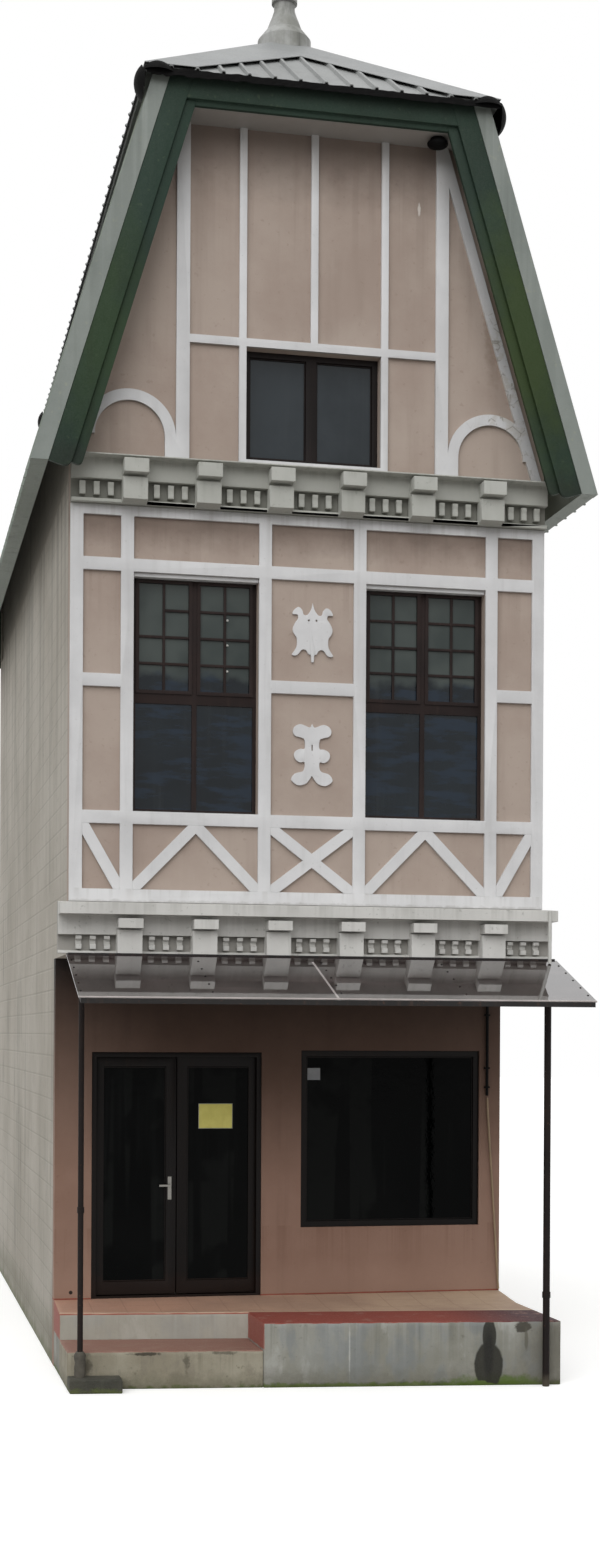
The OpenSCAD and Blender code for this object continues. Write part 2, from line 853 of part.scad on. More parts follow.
module cornice(z, x0, x1, levels, band_out, fall, first, bracket_levels, waist) {
    bracket_step = (house_w - 2 * first) / (bracket_n - 1);
    end_group = half - (first - bracket_w / 2) / 2;
    groups = concat([-end_group, end_group],
        [for (i = [1 : bracket_n - 1]) (i - bracket_n / 2) * bracket_step]);
    color(plaster_white) translate([0, 0, z]) {
        cornice_run(x0, x1, levels, band_out, fall);
        for (i = [0 : bracket_n - 1]) bracket(first - half + i * bracket_step, bracket_levels);
        for (x = groups, j = [-1, 0, 1])
            dentil(x + j * dentil_step, (levels[0] + levels[1] - dentil_h) / 2, waist);
    }
}

low_band_fall = 22;

module lower_cornice() {
    cornice(bay_z, -half - cornice_left, half + cornice_right, [28, 158, 324, low_cornice_h], cornice_out,
        low_band_fall, bracket_in, [0, 198, 211, 292], dentil_waist);
}

high_band_out = 200;
high_band_h = 22;
high_dentil_waist = 4;

module upper_cornice() {
    cornice(bay_top, -half, half, [42, 194, high_cornice_h - high_band_h, high_cornice_h], high_band_out,
        wash, high_bracket_in, [18, 203, 229, high_cornice_h - 2 * high_band_h], high_dentil_waist);
}

// Canopy; short arms hold its rail out from the underside of the cornice
rail_gap = 130;
arm_in = 10;
rail_y = -rail_gap - tube_w;
canopy_top = bay_z - 14;
canopy_slope = canopy_drop / (canopy_out + rail_y);
canopy_x0 = -half - canopy_left;
canopy_x1 = half + canopy_right;
sheet_v = canopy_t / cos(atan(canopy_slope));
rafter_w = 30;
rafter_n = 5;
function canopy_z(y) = canopy_top + (y - rail_y) * canopy_slope;

// A band of depth d under the canopy's top surface, from y0 back to y1
module sloping(y0, y1, under, d) {
    polygon([[y0, canopy_z(y0) - under], [y1, canopy_z(y1) - under],
        [y1, canopy_z(y1) - under - d], [y0, canopy_z(y0) - under - d]]);
}

module canopy_sheet() {
    color("dimgray") along_x(canopy_x0, canopy_x1 - canopy_x0) sloping(-canopy_out, rail_y, 0, sheet_v);
}

rafter_in = 15;
frame_x0 = canopy_x0 + rafter_in;
frame_x1 = canopy_x1 - rafter_in;

// The purlin lies along the line of the posts, let a little into the rafters from below
purlin_bite = 10;
function purlin_y(x) = slanted(x, -block_out - post_out);
function purlin_z(x) = canopy_z(purlin_y(x)) - sheet_v - seat_gap - tube_w + purlin_bite;
purlin_rise = purlin_z(frame_x1) - purlin_z(frame_x0);
purlin_turn = atan2(purlin_y(frame_x1) - purlin_y(frame_x0), frame_x1 - frame_x0);
purlin_run = (frame_x1 - frame_x0) / cos(purlin_turn);

// A bar along the purlin, down from its top by a distance, with its own width and depth
module purlin_bar(down, w, d) {
    translate([frame_x0, purlin_y(frame_x0), purlin_z(frame_x0)])
        rotate([0, -atan2(purlin_rise, purlin_run), purlin_turn])
            translate([0, -w / 2, -down - d]) cube([norm([purlin_run, purlin_rise]), w, d]);
}

module canopy_frame() {
    under = sheet_v + seat_gap;
    color("black") {
        block([frame_x0, rail_y, bay_z - tube_w], [frame_x1, rail_y + tube_w, bay_z]);
        for (i = [0 : rafter_n - 1]) {
            x = frame_x0 + i * (frame_x1 - rafter_w - frame_x0) / (rafter_n - 1);
            along_x(x, rafter_w) sloping(-canopy_out, rail_y, under, tube_w);
            block([x, rail_y + tube_w, bay_z - tube_w], [x + rafter_w, -arm_in, bay_z]);
        }
        along_x(frame_x0, frame_x1 - frame_x0)
            sloping(-canopy_out, -canopy_out + rafter_w, under, tube_w);
        purlin_bar(0, tube_w, tube_w);
    }
}

clamp_h = 50;
clamp_t = 6;
left_clamp_z = 1500;
right_clamp_z = 760;

module post(x, d, foot, clamp_z) {
    translate([x, purlin_y(x), foot]) cylinder(d = d, h = purlin_z(x) - foot);
    translate([x, purlin_y(x), clamp_z]) cylinder(d = d + 2 * clamp_t, h = clamp_h);
}

module canopy_posts() {
    color("dimgray") difference() {
        union() {
            post(-half + left_post_in, left_post_d, pad_h, left_clamp_z);
            post(half - right_post_in, right_post_d, 0, right_clamp_z);
        }
        translate([0, 0, -tube_w - seat_gap]) purlin_bar(-2 * tube_w, 3 * tube_w, 2 * tube_w);
    }
}

// Timbers on the gable
gable_post_x = half - gable_post_in;
arch_x = half - arch_in;

module gable_arch() {
    outer = arch_r + arch_w;
    translate([arch_x, gable_z + arch_up]) difference() {
        union() {
            circle(outer);
            rect(-outer, -arch_up, -arch_r, 0);
        }
        circle(arch_r);
        rect(-arch_r, -outer - 1, outer + 1, 0);
    }
}

module inside_rake(inset) {
    polygon([[0, gable_z], [rake_x(gable_z, -inset), gable_z],
        [rake_x(soffit_z, -inset), soffit_z], [0, soffit_z]]);
}

module gable_half() {
    rail_z = gable_win_z + gable_win_h;
    intersection() {
        union() {
            rect(gable_post_x, gable_z, gable_post_x + gable_post_w, soffit_z);
            rect(gable_win_w / 2, gable_z, gable_win_w / 2 + thin_post_w, soffit_z);
            rect(0, rail_z, thin_post_w / 2, soffit_z);
            rect(0, rail_z, gable_post_x, rail_z + gable_sill_h);
            rect(0, gable_z, gable_win_w / 2, gable_win_z);
            gable_arch();
            difference() {
                inside_rake(rake_in);
                inside_rake(rake_in + rake_w);
            }
        }
        inside_rake(rake_in);
    }
}

module gable_timbers() {
    color(timber_white) upright(0, timber_t) {
        gable_half();
        mirror([1, 0]) gable_half();
    }
}

// Steep roofs
roof_front = -verge_out - barge_t;
roof_rear = house_d + verge_out + barge_t;
seam_out = 22;
seam_w = 24;
verge_cover = 120;

// Everything below the end slopes of the hipped roof
module under_hip() {
    low = foot_z - 100;
    down = hip_z - sheet_t - seat_gap;
    along_x(-foot_x - skin_w - 100, 2 * (foot_x + skin_w + 100))
        polygon([[hip_front, low], [hip_front, down], [apex_y, down + hip_rise],
            [rear_apex_y, down + hip_rise], [hip_back, down], [hip_back, low]]);
}

// A band of the roof's section, between two distances out from its underside
module skin(out0, out1) {
    polygon([[rake_x(foot_z, out0), foot_z], [rake_x(foot_z, out1), foot_z],
        [rake_x(seat_z(out1) - seat_gap, out1), seat_z(out1) - seat_gap],
        [rake_x(seat_z(out0) - seat_gap, out0), seat_z(out0) - seat_gap]]);
}

module steep_roof() {
    span = roof_rear - roof_front - 2 * verge_cover;
    seams = floor(span / seam_step / 2);
    color("darkseagreen") intersection() {
        union() {
            upright(roof_front, roof_rear - roof_front) skin(0, skin_w);
            for (i = [-seams : seams])
                upright((roof_front + roof_rear - seam_w) / 2 + i * seam_step, seam_w)
                    skin(skin_w - 1, skin_w + seam_out);
        }
        under_hip();
    }
}

module steep_roof_right() {
    steep_roof();
}

module steep_roof_left() {
    mirror([1, 0, 0]) steep_roof();
}

// Hipped roof of ribbed sheets, with a gap at each hip under its capping
hip_gap = 25;
rib_foot = 44;
rib_top = 24;

function rib_points(n, step) = [for (i = [-n : n]) each [[i * step - rib_foot / 2, 0],
    [i * step - rib_top / 2, rib_h], [i * step + rib_top / 2, rib_h], [i * step + rib_foot / 2, 0]]];

// Sheet with its eave along X through the origin, rising towards +Y
module ribbed_sheet(width, run, angle) {
    t = sheet_t * cos(angle);
    n = floor((width / 2 - rib_foot) / rib_step);
    rotate([angle, 0, 0]) rotate([90, 0, 180]) linear_extrude(run / cos(angle))
        polygon(concat([[-width / 2, -t], [-width / 2, 0]], rib_points(n, rib_step),
            [[width / 2, 0], [width / 2, -t]]));
}

module plan(points) {
    translate([0, 0, hip_z - hip_rise]) linear_extrude(3 * hip_rise) polygon(points);
}

module end_slope() {
    intersection() {
        translate([0, hip_front, hip_z]) ribbed_sheet(2 * hip_half, hip_run, end_angle);
        plan([[-hip_half + hip_gap, hip_front - 100], [hip_half - hip_gap, hip_front - 100],
            [hip_half - hip_gap, hip_front], [0, apex_y - hip_gap * hip_run / hip_half],
            [-hip_half + hip_gap, hip_front]]);
    }
}

module side_slope() {
    g = hip_gap * hip_run / hip_half;
    intersection() {
        translate([hip_half, house_d / 2, hip_z]) rotate([0, 0, 90])
            ribbed_sheet(hip_back - hip_front, hip_half, side_angle);
        plan([[hip_half + 100, hip_front + g], [hip_half, hip_front + g], [hip_gap, apex_y],
            [hip_gap, rear_apex_y], [hip_half, hip_back - g], [hip_half + 100, hip_back - g]]);
    }
}

module hip_roof() {
    color("lightgray") {
        end_slope();
        to_rear(0) end_slope();
        side_slope();
        mirror([1, 0, 0]) side_slope();
    }
}

// Solid under the hipped roof's surface, raised by an upright distance
module hip_solid(up) {
    more = 40;
    translate([0, 0, up]) intersection() {
        upright(hip_front - more, hip_back - hip_front + 2 * more)
            polygon([[-hip_half - more, hip_z - more * pitch_side], [0, ridge_z],
                [hip_half + more, hip_z - more * pitch_side]]);
        along_x(-hip_half - more, 2 * (hip_half + more))
            polygon([[hip_front - more, hip_z - more * pitch_end], [apex_y, ridge_z],
                [rear_apex_y, ridge_z], [hip_back + more, hip_z - more * pitch_end]]);
    }
}

rib_up = rib_h / cos(side_angle) + seat_gap;
cap_up = rib_up + metal_t;
hip_length = norm([hip_half, hip_run]);

module hip_strip() {
    translate([0, apex_y]) rotate(-atan2(hip_run, hip_half))
        polygon([[0, -cap_head_w], [hip_length, -cap_w], [hip_length + cap_w, -cap_w],
            [hip_length + cap_w, cap_w], [hip_length, cap_w], [0, cap_head_w]]);
}

module cap_plan() {
    intersection() {
        rect(-hip_half, hip_front, hip_half, hip_back);
        union() {
            rect(-cap_w / 2, apex_y, cap_w / 2, rear_apex_y);
            hip_strip();
            mirror([1, 0]) hip_strip();
            translate([0, house_d]) mirror([0, 1]) {
                hip_strip();
                mirror([1, 0]) hip_strip();
            }
        }
    }
}

module hip_cappings() {
    color("lightgray") difference() {
        intersection() {
            hip_solid(cap_up);
            translate([0, 0, hip_z - hip_rise]) linear_extrude(3 * hip_rise) cap_plan();
        }
        hip_solid(rib_up);
    }
}

// Dark hoods curled round the corners of the eaves, outside the roof's plan
hood_in = 115;
hood_drop = 90;
rib_tip = rib_h * sin(side_angle) + seat_gap;

// The space over and under the hipped roof, out to a distance past its eaves
module eaves_block(out, z0, z1) {
    block([-hip_half - out, hip_front - out, z0], [hip_half + out, hip_back + out, z1]);
}

module corner_hoods() {
    low = hip_z - 2 * hood_r;
    color("black") difference() {
        for (x = [hood_in - hip_half, hip_half - hood_in], y = [hip_front + hood_in, hip_back - hood_in])
            translate([x, y, hip_z - hood_drop]) difference() {
                sphere(hood_r);
                sphere(hood_r - metal_t);
            }
        eaves_block(metal_t + seat_gap, low, hip_z + 2 * hood_r);
        eaves_block(rib_tip, hip_z - rib_tip, hip_z + 2 * hood_r);
        for (y = [hip_front - hood_r, hip_back]) translate([-hip_half, y, low])
            cube([2 * hip_half, hood_r, 2 * hood_r - trim_h]);
    }
}

// Dark trim turned down along the eaves
trim_h = 30;

module eaves_trim() {
    color("black") difference() {
        block([-hip_half - metal_t, hip_front - metal_t, hip_z - trim_h],
            [hip_half + metal_t, hip_back + metal_t, hip_z]);
        block([-hip_half, hip_front, hip_z - trim_h - 1], [hip_half, hip_back, hip_z + 1]);
    }
}

// Finial, sat over the meeting of the cappings. Its profile is a list of
// [share of the skirt's diameter, share of the height]
finial_foot = 180;
finial_profile = [[0.5, 0], [0.5, 0.012], [0.365, 0.112], [0.34, 0.122], [0.278, 0.22], [0.232, 0.285],
    [0.196, 0.35], [0.194, 0.418], [0.24, 0.43], [0.24, 0.472], [0.18, 0.5], [0.13, 0.55]];
ball_d = 190;
spike_d = 50;

module finial() {
    neck_z = 0.55 * finial_h;
    ball_z = neck_z + 0.45 * ball_d;
    color("gainsboro") difference() {
        translate([0, apex_y, ridge_z]) {
            rotate_extrude() polygon(concat([[0, -finial_foot], [0.5 * skirt_d, -finial_foot]],
                [for (p = finial_profile) [p[0] * skirt_d, p[1] * finial_h]], [[0, neck_z]]));
            translate([0, 0, ball_z]) sphere(d = ball_d);
            translate([0, 0, ball_z]) cylinder(d1 = 2 * spike_d, d2 = spike_d / 4, h = finial_h - ball_z);
        }
        hip_solid(cap_up + seat_gap);
    }
}

// Verge boards
moulding_h = 45;
board_top = soffit_z + moulding_h;
moulding_back = 30;

rake_angle = atan(rake);
foot_r = 70;

// A board along the right slope up to z1, between two distances in from the roof's underside. Its
// foot is cut square, with the inner corner rounded
module slope_board(in0, in1, z1, y) {
    w = (in1 - in0) * cos(rake_angle);
    r = min(foot_r, w / 2);
    length = (z1 - foot_z) / cos(rake_angle);
    intersection() {
        upright(y, barge_t) intersection() {
            translate([rake_x(foot_z, -in0), foot_z]) rotate(rake_angle) {
                translate([-w, r]) square([w, 2 * length]);
                translate([r - w, 0]) square([w - r, 2 * r]);
                translate([r - w, r]) circle(r);
            }
            rect(0, foot_z - w, foot_x, z1);
        }
        under_hip();
    }
}

module barge_board() {
    slope_board(seat_gap, barge_w, hip_z + 100, roof_front);
    slope_board(barge_w, barge_w + moulding_w, board_top, roof_front + moulding_back);
}

module barge_boards() {
    color(green) both_sides() barge_board();
}

// Level board between two distances in from the roof's underside, from z0 to z1
module level_board(inset, z0, z1, y) {
    in = -inset - seat_gap;
    intersection() {
        upright(y, barge_t) polygon([[-rake_x(z0, in), z0], [rake_x(z0, in), z0],
            [rake_x(z1, in), z1], [-rake_x(z1, in), z1]]);
        under_hip();
    }
}

module fascia() {
    level_board(barge_w, board_top, hip_z + 100, roof_front);
    level_board(barge_w + moulding_w, soffit_z, board_top, roof_front + moulding_back);
}

module fascia_boards() {
    color(green) {
        fascia();
        to_rear(0) fascia();
    }
}

module rear_barge_boards() {
    color(green) to_rear(0) both_sides() barge_board();
}

module verge_flashing() {
    intersection() {
        union() {
            upright(roof_front - metal_t, metal_t) skin(0, skin_w + metal_t);
            upright(roof_front - metal_t, verge_cover) skin(skin_w, skin_w + metal_t);
        }
        under_hip();
    }
}

module verge_flashings() {
    color("darkseagreen") {
        both_sides() verge_flashing();
        to_rear(0) both_sides() verge_flashing();
    }
}

soffit_t = 20;

// Board under the overhang of a verge, of the given depth behind the moulding
module verge_soffit(depth) {
    x0 = rake_x(soffit_z, -seat_gap);
    x1 = rake_x(soffit_z + soffit_t, -seat_gap);
    upright(-verge_out + moulding_back, depth - moulding_back) polygon([[-x0, soffit_z], [x0, soffit_z],
        [x1, soffit_z + soffit_t], [-x1, soffit_z + soffit_t]]);
}

module verge_soffits() {
    color(timber_white) {
        verge_soffit(verge_out + plaster_y);
        to_rear(0) verge_soffit(verge_out);
    }
}

porch_block();
low_step();
post_pad();
ground_slab();
party_wall_left();
party_wall_right();
front_wall_left();
front_wall_over_door();
front_wall_right();
door_frame();
door_hinges();
left_leaf();
left_leaf_glass();
right_leaf();
right_leaf_glass();
door_handle();
shop_window_frame();
shop_window_glass();
first_floor();
bay_wall();
bay_timbers();
bay_braces();
wall_ornaments();
bay_window_frames();
bay_window_glass();
lower_cornice();
upper_cornice();
canopy_sheet();
canopy_frame();
canopy_posts();
attic_floor();
gable_wall();
gable_timbers();
gable_window_frame();
gable_window_glass();
steep_roof_left();
steep_roof_right();
hip_roof();
hip_cappings();
eaves_trim();
corner_hoods();
finial();
barge_boards();
fascia_boards();
verge_flashings();
verge_soffits();
rear_ground_wall();
rear_upper_wall();
rear_window_frames();
rear_window_glass();
rear_barge_boards();
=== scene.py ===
import bpy
import bmesh
import math
from mathutils import Matrix, Vector, noise as rough


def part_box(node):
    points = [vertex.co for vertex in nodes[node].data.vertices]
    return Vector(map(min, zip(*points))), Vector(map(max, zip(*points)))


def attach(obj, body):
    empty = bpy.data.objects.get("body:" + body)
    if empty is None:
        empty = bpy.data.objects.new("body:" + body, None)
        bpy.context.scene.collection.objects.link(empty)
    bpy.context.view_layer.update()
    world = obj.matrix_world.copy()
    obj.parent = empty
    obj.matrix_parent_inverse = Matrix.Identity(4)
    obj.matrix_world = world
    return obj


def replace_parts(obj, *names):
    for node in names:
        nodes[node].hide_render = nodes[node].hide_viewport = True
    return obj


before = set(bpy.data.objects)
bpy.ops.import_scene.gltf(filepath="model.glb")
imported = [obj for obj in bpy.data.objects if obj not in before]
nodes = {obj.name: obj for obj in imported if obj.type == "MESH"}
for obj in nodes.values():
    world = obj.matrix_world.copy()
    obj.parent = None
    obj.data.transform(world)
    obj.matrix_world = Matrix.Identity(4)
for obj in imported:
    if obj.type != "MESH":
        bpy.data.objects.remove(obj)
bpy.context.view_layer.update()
scene = bpy.context.scene


def newObject(name, data):
    made = bpy.data.objects.new(name, data)
    scene.collection.objects.link(made)
    return made


# Camera
camera = {"focal": 2016.2, "centre": (300, 1041.6), "frame": (600, 1567), "yaw": 12.165, "pitch": -0.208,
          "roll": 0.294, "place": (-3.774, -17.059, 3.010), "sensor": 36, "reach": 200}
wide, tall = camera["frame"]
view = bpy.data.cameras.new("view")
view.lens = camera["focal"] * camera["sensor"] / tall
view.sensor_width = camera["sensor"]
view.shift_x = (wide / 2 - camera["centre"][0]) / tall
view.shift_y = (camera["centre"][1] - tall / 2) / tall
view.clip_end = camera["reach"]
stand = Matrix.Translation(camera["place"])
for turn, axis in ((-camera["yaw"], "Z"), (90 + camera["pitch"], "X"), (camera["roll"], "Z")):
    stand = stand @ Matrix.Rotation(math.radians(turn), 4, axis)
scene.camera = newObject("viewer", view)
scene.camera.matrix_world = stand
scene.view_settings.view_transform = "Standard"
print("camera set")


# Shader helpers
def paint(code):
    # turns a paint's hex code into the linear colour that the shader wants
    parts = [int(code[i:i + 2], 16) / 255 for i in (1, 3, 5)]
    return tuple(p / 12.92 if p <= 0.04045 else ((p + 0.055) / 1.055) ** 2.4 for p in parts) + (1,)


def fillInputs(node, inputs):
    for name, value in inputs.items():
        if isinstance(value, bpy.types.NodeSocket):
            node.id_data.links.new(value, node.inputs[name])
        else:
            node.inputs[name].default_value = value


def addNode(tree, kind, inputs=None, **settings):
    made = tree.nodes.new("ShaderNode" + kind)
    for name, value in settings.items():
        setattr(made, name, value)
    fillInputs(made, inputs or {})
    return made


def reckon(operation, first, second=0.0, clamp=False):
    # arithmetic in the tree of the value that is a socket
    tree = first.id_data if isinstance(first, bpy.types.NodeSocket) else second.id_data
    return addNode(tree, "Math", {0: first, 1: second}, operation=operation, use_clamp=clamp).outputs[0]


def times(first, *others):
    for other in others:
        first = reckon("MULTIPLY", first, other)
    return first


def plus(first, second):
    return reckon("ADD", first, second)


def minus(first, second, clamp=False):
    return reckon("SUBTRACT", first, second, clamp)


def spread(value, low, high, toLow=0.0, toHigh=1.0):
    # carries a value from one range to another, with soft ends
    ends = {"Value": value, "From Min": low, "From Max": high, "To Min": toLow, "To Max": toHigh}
    return addNode(value.id_data, "MapRange", ends, interpolation_type="SMOOTHSTEP").outputs[0]


def mixPaint(factor, first, second):
    return addNode(factor.id_data, "Mix", {0: factor, 6: first, 7: second}, data_type="RGBA").outputs[2]


def objectPlace(tree):
    return addNode(tree, "TexCoord").outputs["Object"]


def axes(tree, vector=None):
    return addNode(tree, "SeparateXYZ", {0: objectPlace(tree) if vector is None else vector}).outputs


def noise(tree, scale, detail=4.0, roughness=0.55, stretch=None):
    coords = objectPlace(tree)
    if stretch:
        coords = addNode(tree, "Mapping", {"Vector": coords, "Scale": stretch}).outputs[0]
    return addNode(tree, "TexNoise", {"Vector": coords, "Scale": scale, "Detail": detail,
                                      "Roughness": roughness}).outputs["Fac"]


def makeGroup(name, inputs, outputs):
    group = bpy.data.node_groups.new(name, "ShaderNodeTree")
    for label, value in inputs.items():
        kind = "NodeSocketVector" if isinstance(value, tuple) else "NodeSocketFloat"
        group.interface.new_socket(label, in_out="INPUT", socket_type=kind).default_value = value
    for label in outputs:
        group.interface.new_socket(label, in_out="OUTPUT", socket_type="NodeSocketFloat")
    return group, group.nodes.new("NodeGroupInput").outputs, group.nodes.new("NodeGroupOutput")


def useGroup(tree, group, values):
    # a group with its inputs in turn, of which the last may keep their own values
    return addNode(tree, "Group", dict(enumerate(values)), node_tree=group).outputs


# Weathering that most finishes share: broad patches, rain streaks, small specks and fine grain
def makeWeather():
    scales = {"Patch Scale": 0.8, "Streak Scale": 6.0, "Speck Scale": 30.0, "Grain Scale": 90.0}
    tree, given, result = makeGroup("weather", scales, ("Patches", "Streaks", "Specks", "Grain"))
    patches = noise(tree, given["Patch Scale"], 6, 0.6)
    streaks = noise(tree, given["Streak Scale"], 5, 0.6, stretch=(1, 1, 0.05))
    fade = noise(tree, 1.3, 2)
    specks = noise(tree, given["Speck Scale"], 3, 0.5)
    streaks = times(spread(streaks, 0.5, 0.72), spread(fade, 0.35, 0.6))
    fillInputs(result, {"Patches": spread(patches, 0.35, 0.68), "Streaks": streaks,
                        "Specks": spread(specks, 0.64, 0.74),
                        "Grain": noise(tree, given["Grain Scale"], 5, 0.7)})
    return tree


def makeRagged(value, given):
    # moves a value about, so that the mask made from it has a ragged edge
    wander = minus(noise(value.id_data, given["Ragged Scale"], 5, 0.65), 0.5)
    return plus(value, times(wander, times(given["Ragged"], 4)))


# One where a point lies between two levels
def makeLevelBand():
    sizes = {"Low": 0.0, "High": 1.0, "Soft": 0.05, "Ragged": 0.05, "Ragged Scale": 6.0}
    tree, given, result = makeGroup("levelBand", sizes, ("Mask",))
    level = makeRagged(axes(tree)[2], given)
    rise = reckon("DIVIDE", minus(level, given["Low"]), given["Soft"], clamp=True)
    fall = reckon("DIVIDE", minus(given["High"], level), given["Soft"], clamp=True)
    fillInputs(result, {"Mask": times(rise, fall)})
    return tree


# An oval stain at a place and of half sizes
def makeSpot():
    sizes = {"Centre": (0.0, 0.0, 0.0), "Size": (1.0, 1.0, 1.0), "Soft": 0.3, "Ragged": 0.3,
             "Ragged Scale": 12.0}
    tree, given, result = makeGroup("spot", sizes, ("Mask",))
    away = objectPlace(tree)
    for operation, by in (("SUBTRACT", "Centre"), ("DIVIDE", "Size")):
        away = addNode(tree, "VectorMath", {0: away, 1: given[by]}, operation=operation).outputs[0]
    reach = addNode(tree, "VectorMath", {0: away}, operation="LENGTH").outputs["Value"]
    inside = minus(1.0, makeRagged(reach, given))
    fillInputs(result, {"Mask": reckon("DIVIDE", inside, given["Soft"], clamp=True)})
    return tree


# Fine drips that run down from a level and fade out
def makeDrips():
    sizes = {"Top": 1.0, "Length": 0.5, "Scale": 14.0, "Amount": 0.5}
    tree, given, result = makeGroup("drips", sizes, ("Mask",))
    streams = noise(tree, given["Scale"], 4, 0.6, stretch=(1, 1, 0.02))
    down = reckon("DIVIDE", minus(given["Top"], axes(tree)[2]), given["Length"])
    kept = minus(1.0, down, clamp=True)
    below = reckon("GREATER_THAN", down, 0.0)
    streams = plus(streams, times(minus(given["Amount"], 0.5), 0.3))
    fillInputs(result, {"Mask": times(spread(streams, 0.48, 0.62), kept, below)})
    return tree


def maskFrom(group):
    # a mask that takes its measures in the order of the group's inputs
    return lambda finish, *sizes: useGroup(finish["tree"], group, sizes)["Mask"]


weather = makeWeather()
band = maskFrom(makeLevelBand())
stain = maskFrom(makeSpot())
runs = maskFrom(makeDrips())


def newMaterial(name):
    made = bpy.data.materials.new(name)
    made.use_nodes = True
    return made, made.node_tree


# Every finish starts from a look, and its own layers go on top
def begin(name, look):
    made, tree = newMaterial(name)
    wear = useGroup(tree, weather, look["scales"])
    ground, patch, streak, speck = look["paints"].split()
    grain, swell = look["heights"]
    finish = {"material": made, "tree": tree, "wear": wear, "look": look,
              "colour": mixPaint(wear["Patches"], paint(ground), paint(patch)),
              "height": plus(times(wear["Grain"], grain), times(wear["Patches"], swell))}
    cover(finish, wear["Streaks"], streak, look["amounts"][0])
    cover(finish, wear["Specks"], speck, look["amounts"][1])
    return finish


def cover(finish, mask, code, amount=1.0):
    if amount != 1.0:
        mask = times(mask, amount)
    finish["colour"] = mixPaint(mask, finish["colour"], paint(code))


def raiseBy(finish, mask, height):
    finish["height"] = plus(finish["height"], times(mask, height))


def bump(height):
    return addNode(height.id_data, "Bump", {"Height": height, "Distance": 1.0, "Strength": 1.0}).outputs[0]


def close(finish):
    tree, look = finish["tree"], finish["look"]
    fillInputs(tree.nodes["Principled BSDF"], {
        "Base Color": finish["colour"], "Normal": bump(finish["height"]),
        "Roughness": spread(finish["wear"]["Grain"], 0.3, 0.7, *look["roughness"]),
        "Metallic": look.get("metallic", 0.0), "Specular IOR Level": look.get("specular", 0.5),
        **look.get("sockets", {})})
    return finish["material"]


def facing(finish, axis, low=0.4, high=0.6):
    # one where the surface faces along an axis: 0 to 2 for x, y and z
    normal = addNode(finish["tree"], "NewGeometry").outputs["True Normal"]
    return spread(axes(finish["tree"], normal)[axis], low, high)


def past(finish, axis, start, end):
    # grows from none to one between two places along an axis
    return spread(axes(finish["tree"])[axis], start, end)


def cloudy(finish, scale, roughness, low, high, stretch=None, detail=5):
    # soft patches, where the noise rises from low to high
    return spread(noise(finish["tree"], scale, detail, roughness, stretch), low, high)


def addLayers(finish, layers):
    # a layer is a mask, its measures, a paint and an amount, and may have a second mask that limits it
    for layer in layers:
        if callable(layer):
            layer(finish)
            continue
        mask, sizes, code, amount, *within = layer
        shown = mask(finish, *sizes)
        if within:
            shown = times(shown, within[0](finish, *within[1]))
        cover(finish, shown, code, amount)


# Layers that a mask alone can't make
def blockCourses(finish):
    # blocks ghost through the thin render
    course = {"long": 0.4, "tall": 0.2, "joint": 0.012, "soft": 0.6, "deep": -0.0015}
    tree = finish["tree"]
    parts = axes(tree)
    flat = addNode(tree, "CombineXYZ", {0: plus(parts[0], parts[1]), 1: parts[2]}).outputs[0]
    courses = addNode(tree, "TexBrick", {
        "Vector": flat, "Scale": 1.0, "Brick Width": course["long"], "Row Height": course["tall"],
        "Mortar Size": course["joint"], "Mortar Smooth": course["soft"]}).outputs["Fac"]
    cover(finish, courses, "#98938a", 0.30)
    raiseBy(finish, courses, course["deep"])


porch = {"top": 0.55, "riser": 0.41, "slant": 0.12, "side": -0.45, "tile": 0.3, "joint": 0.004,
         "dampPlace": (1.474, -0.47)}


def dampBottle(finish):
    # a damp stain like a bottle, below the porch's edge
    x, y = porch["dampPlace"]
    body = times(stain(finish, (x, y, 0.17), (0.128, 0.4, 0.22), 0.10, 0.06, 9.0),
                 band(finish, 0.025, 0.6, 0.01))
    neck = stain(finish, (x + 0.006, y, 0.42), (0.062, 0.4, 0.17), 0.12, 0.06, 9.0)
    cover(finish, reckon("MAXIMUM", body, neck), "#24231c", 0.95)
    cover(finish, stain(finish, (x, y, 0.27), (0.055, 0.4, 0.26), 0.5, 0.12, 9.0), "#141310", 0.8)


def porchFloor(finish):
    tree = finish["tree"]
    parts = axes(tree)
    line = plus(parts[1], times(parts[0], porch["slant"]))
    # tiled floor behind the riser's line, greyer towards the right
    tiles = addNode(tree, "TexBrick", {
        "Vector": objectPlace(tree), "Scale": 1.0, "Brick Width": porch["tile"], "Row Height": porch["tile"],
        "Mortar Size": porch["joint"], "Mortar Smooth": 0.4}, offset=0.0).outputs["Fac"]
    up = facing(finish, 2)
    floorTone = mixPaint(past(finish, 0, -2.0, 2.0), paint("#b38a75"), paint("#bba48c"))
    finish["colour"] = mixPaint(up, finish["colour"], floorTone)
    cover(finish, times(up, tiles), "#86675a", 0.45)
    cover(finish, times(up, finish["wear"]["Patches"]), "#94796a", 0.5)
    raiseBy(finish, times(up, tiles), -0.002)
    # red paint on the block in front, purplish and worn towards the right, trodden pale along its back
    riser, side = porch["riser"], porch["side"]
    front = minus(1.0, spread(line, riser - 0.005, riser + 0.005))
    red = times(up, front, past(finish, 0, side - 0.01, side))
    lip = times(up, spread(line, riser - 0.002, riser + 0.004), spread(line, riser + 0.045, riser + 0.03))
    cover(finish, lip, "#c2ab95", 0.6)
    redTone = mixPaint(past(finish, 0, 1.0, 2.0), paint("#8a473d"), paint("#43272b"))
    finish["colour"] = mixPaint(red, finish["colour"], redTone)
    cover(finish, times(red, cloudy(finish, 7.0, 0.7, 0.56, 0.66)), "#9a7468", 0.55)
    cover(finish, times(red, cloudy(finish, 30.0, 0.7, 0.62, 0.68)), "#5a3a38", 0.7)


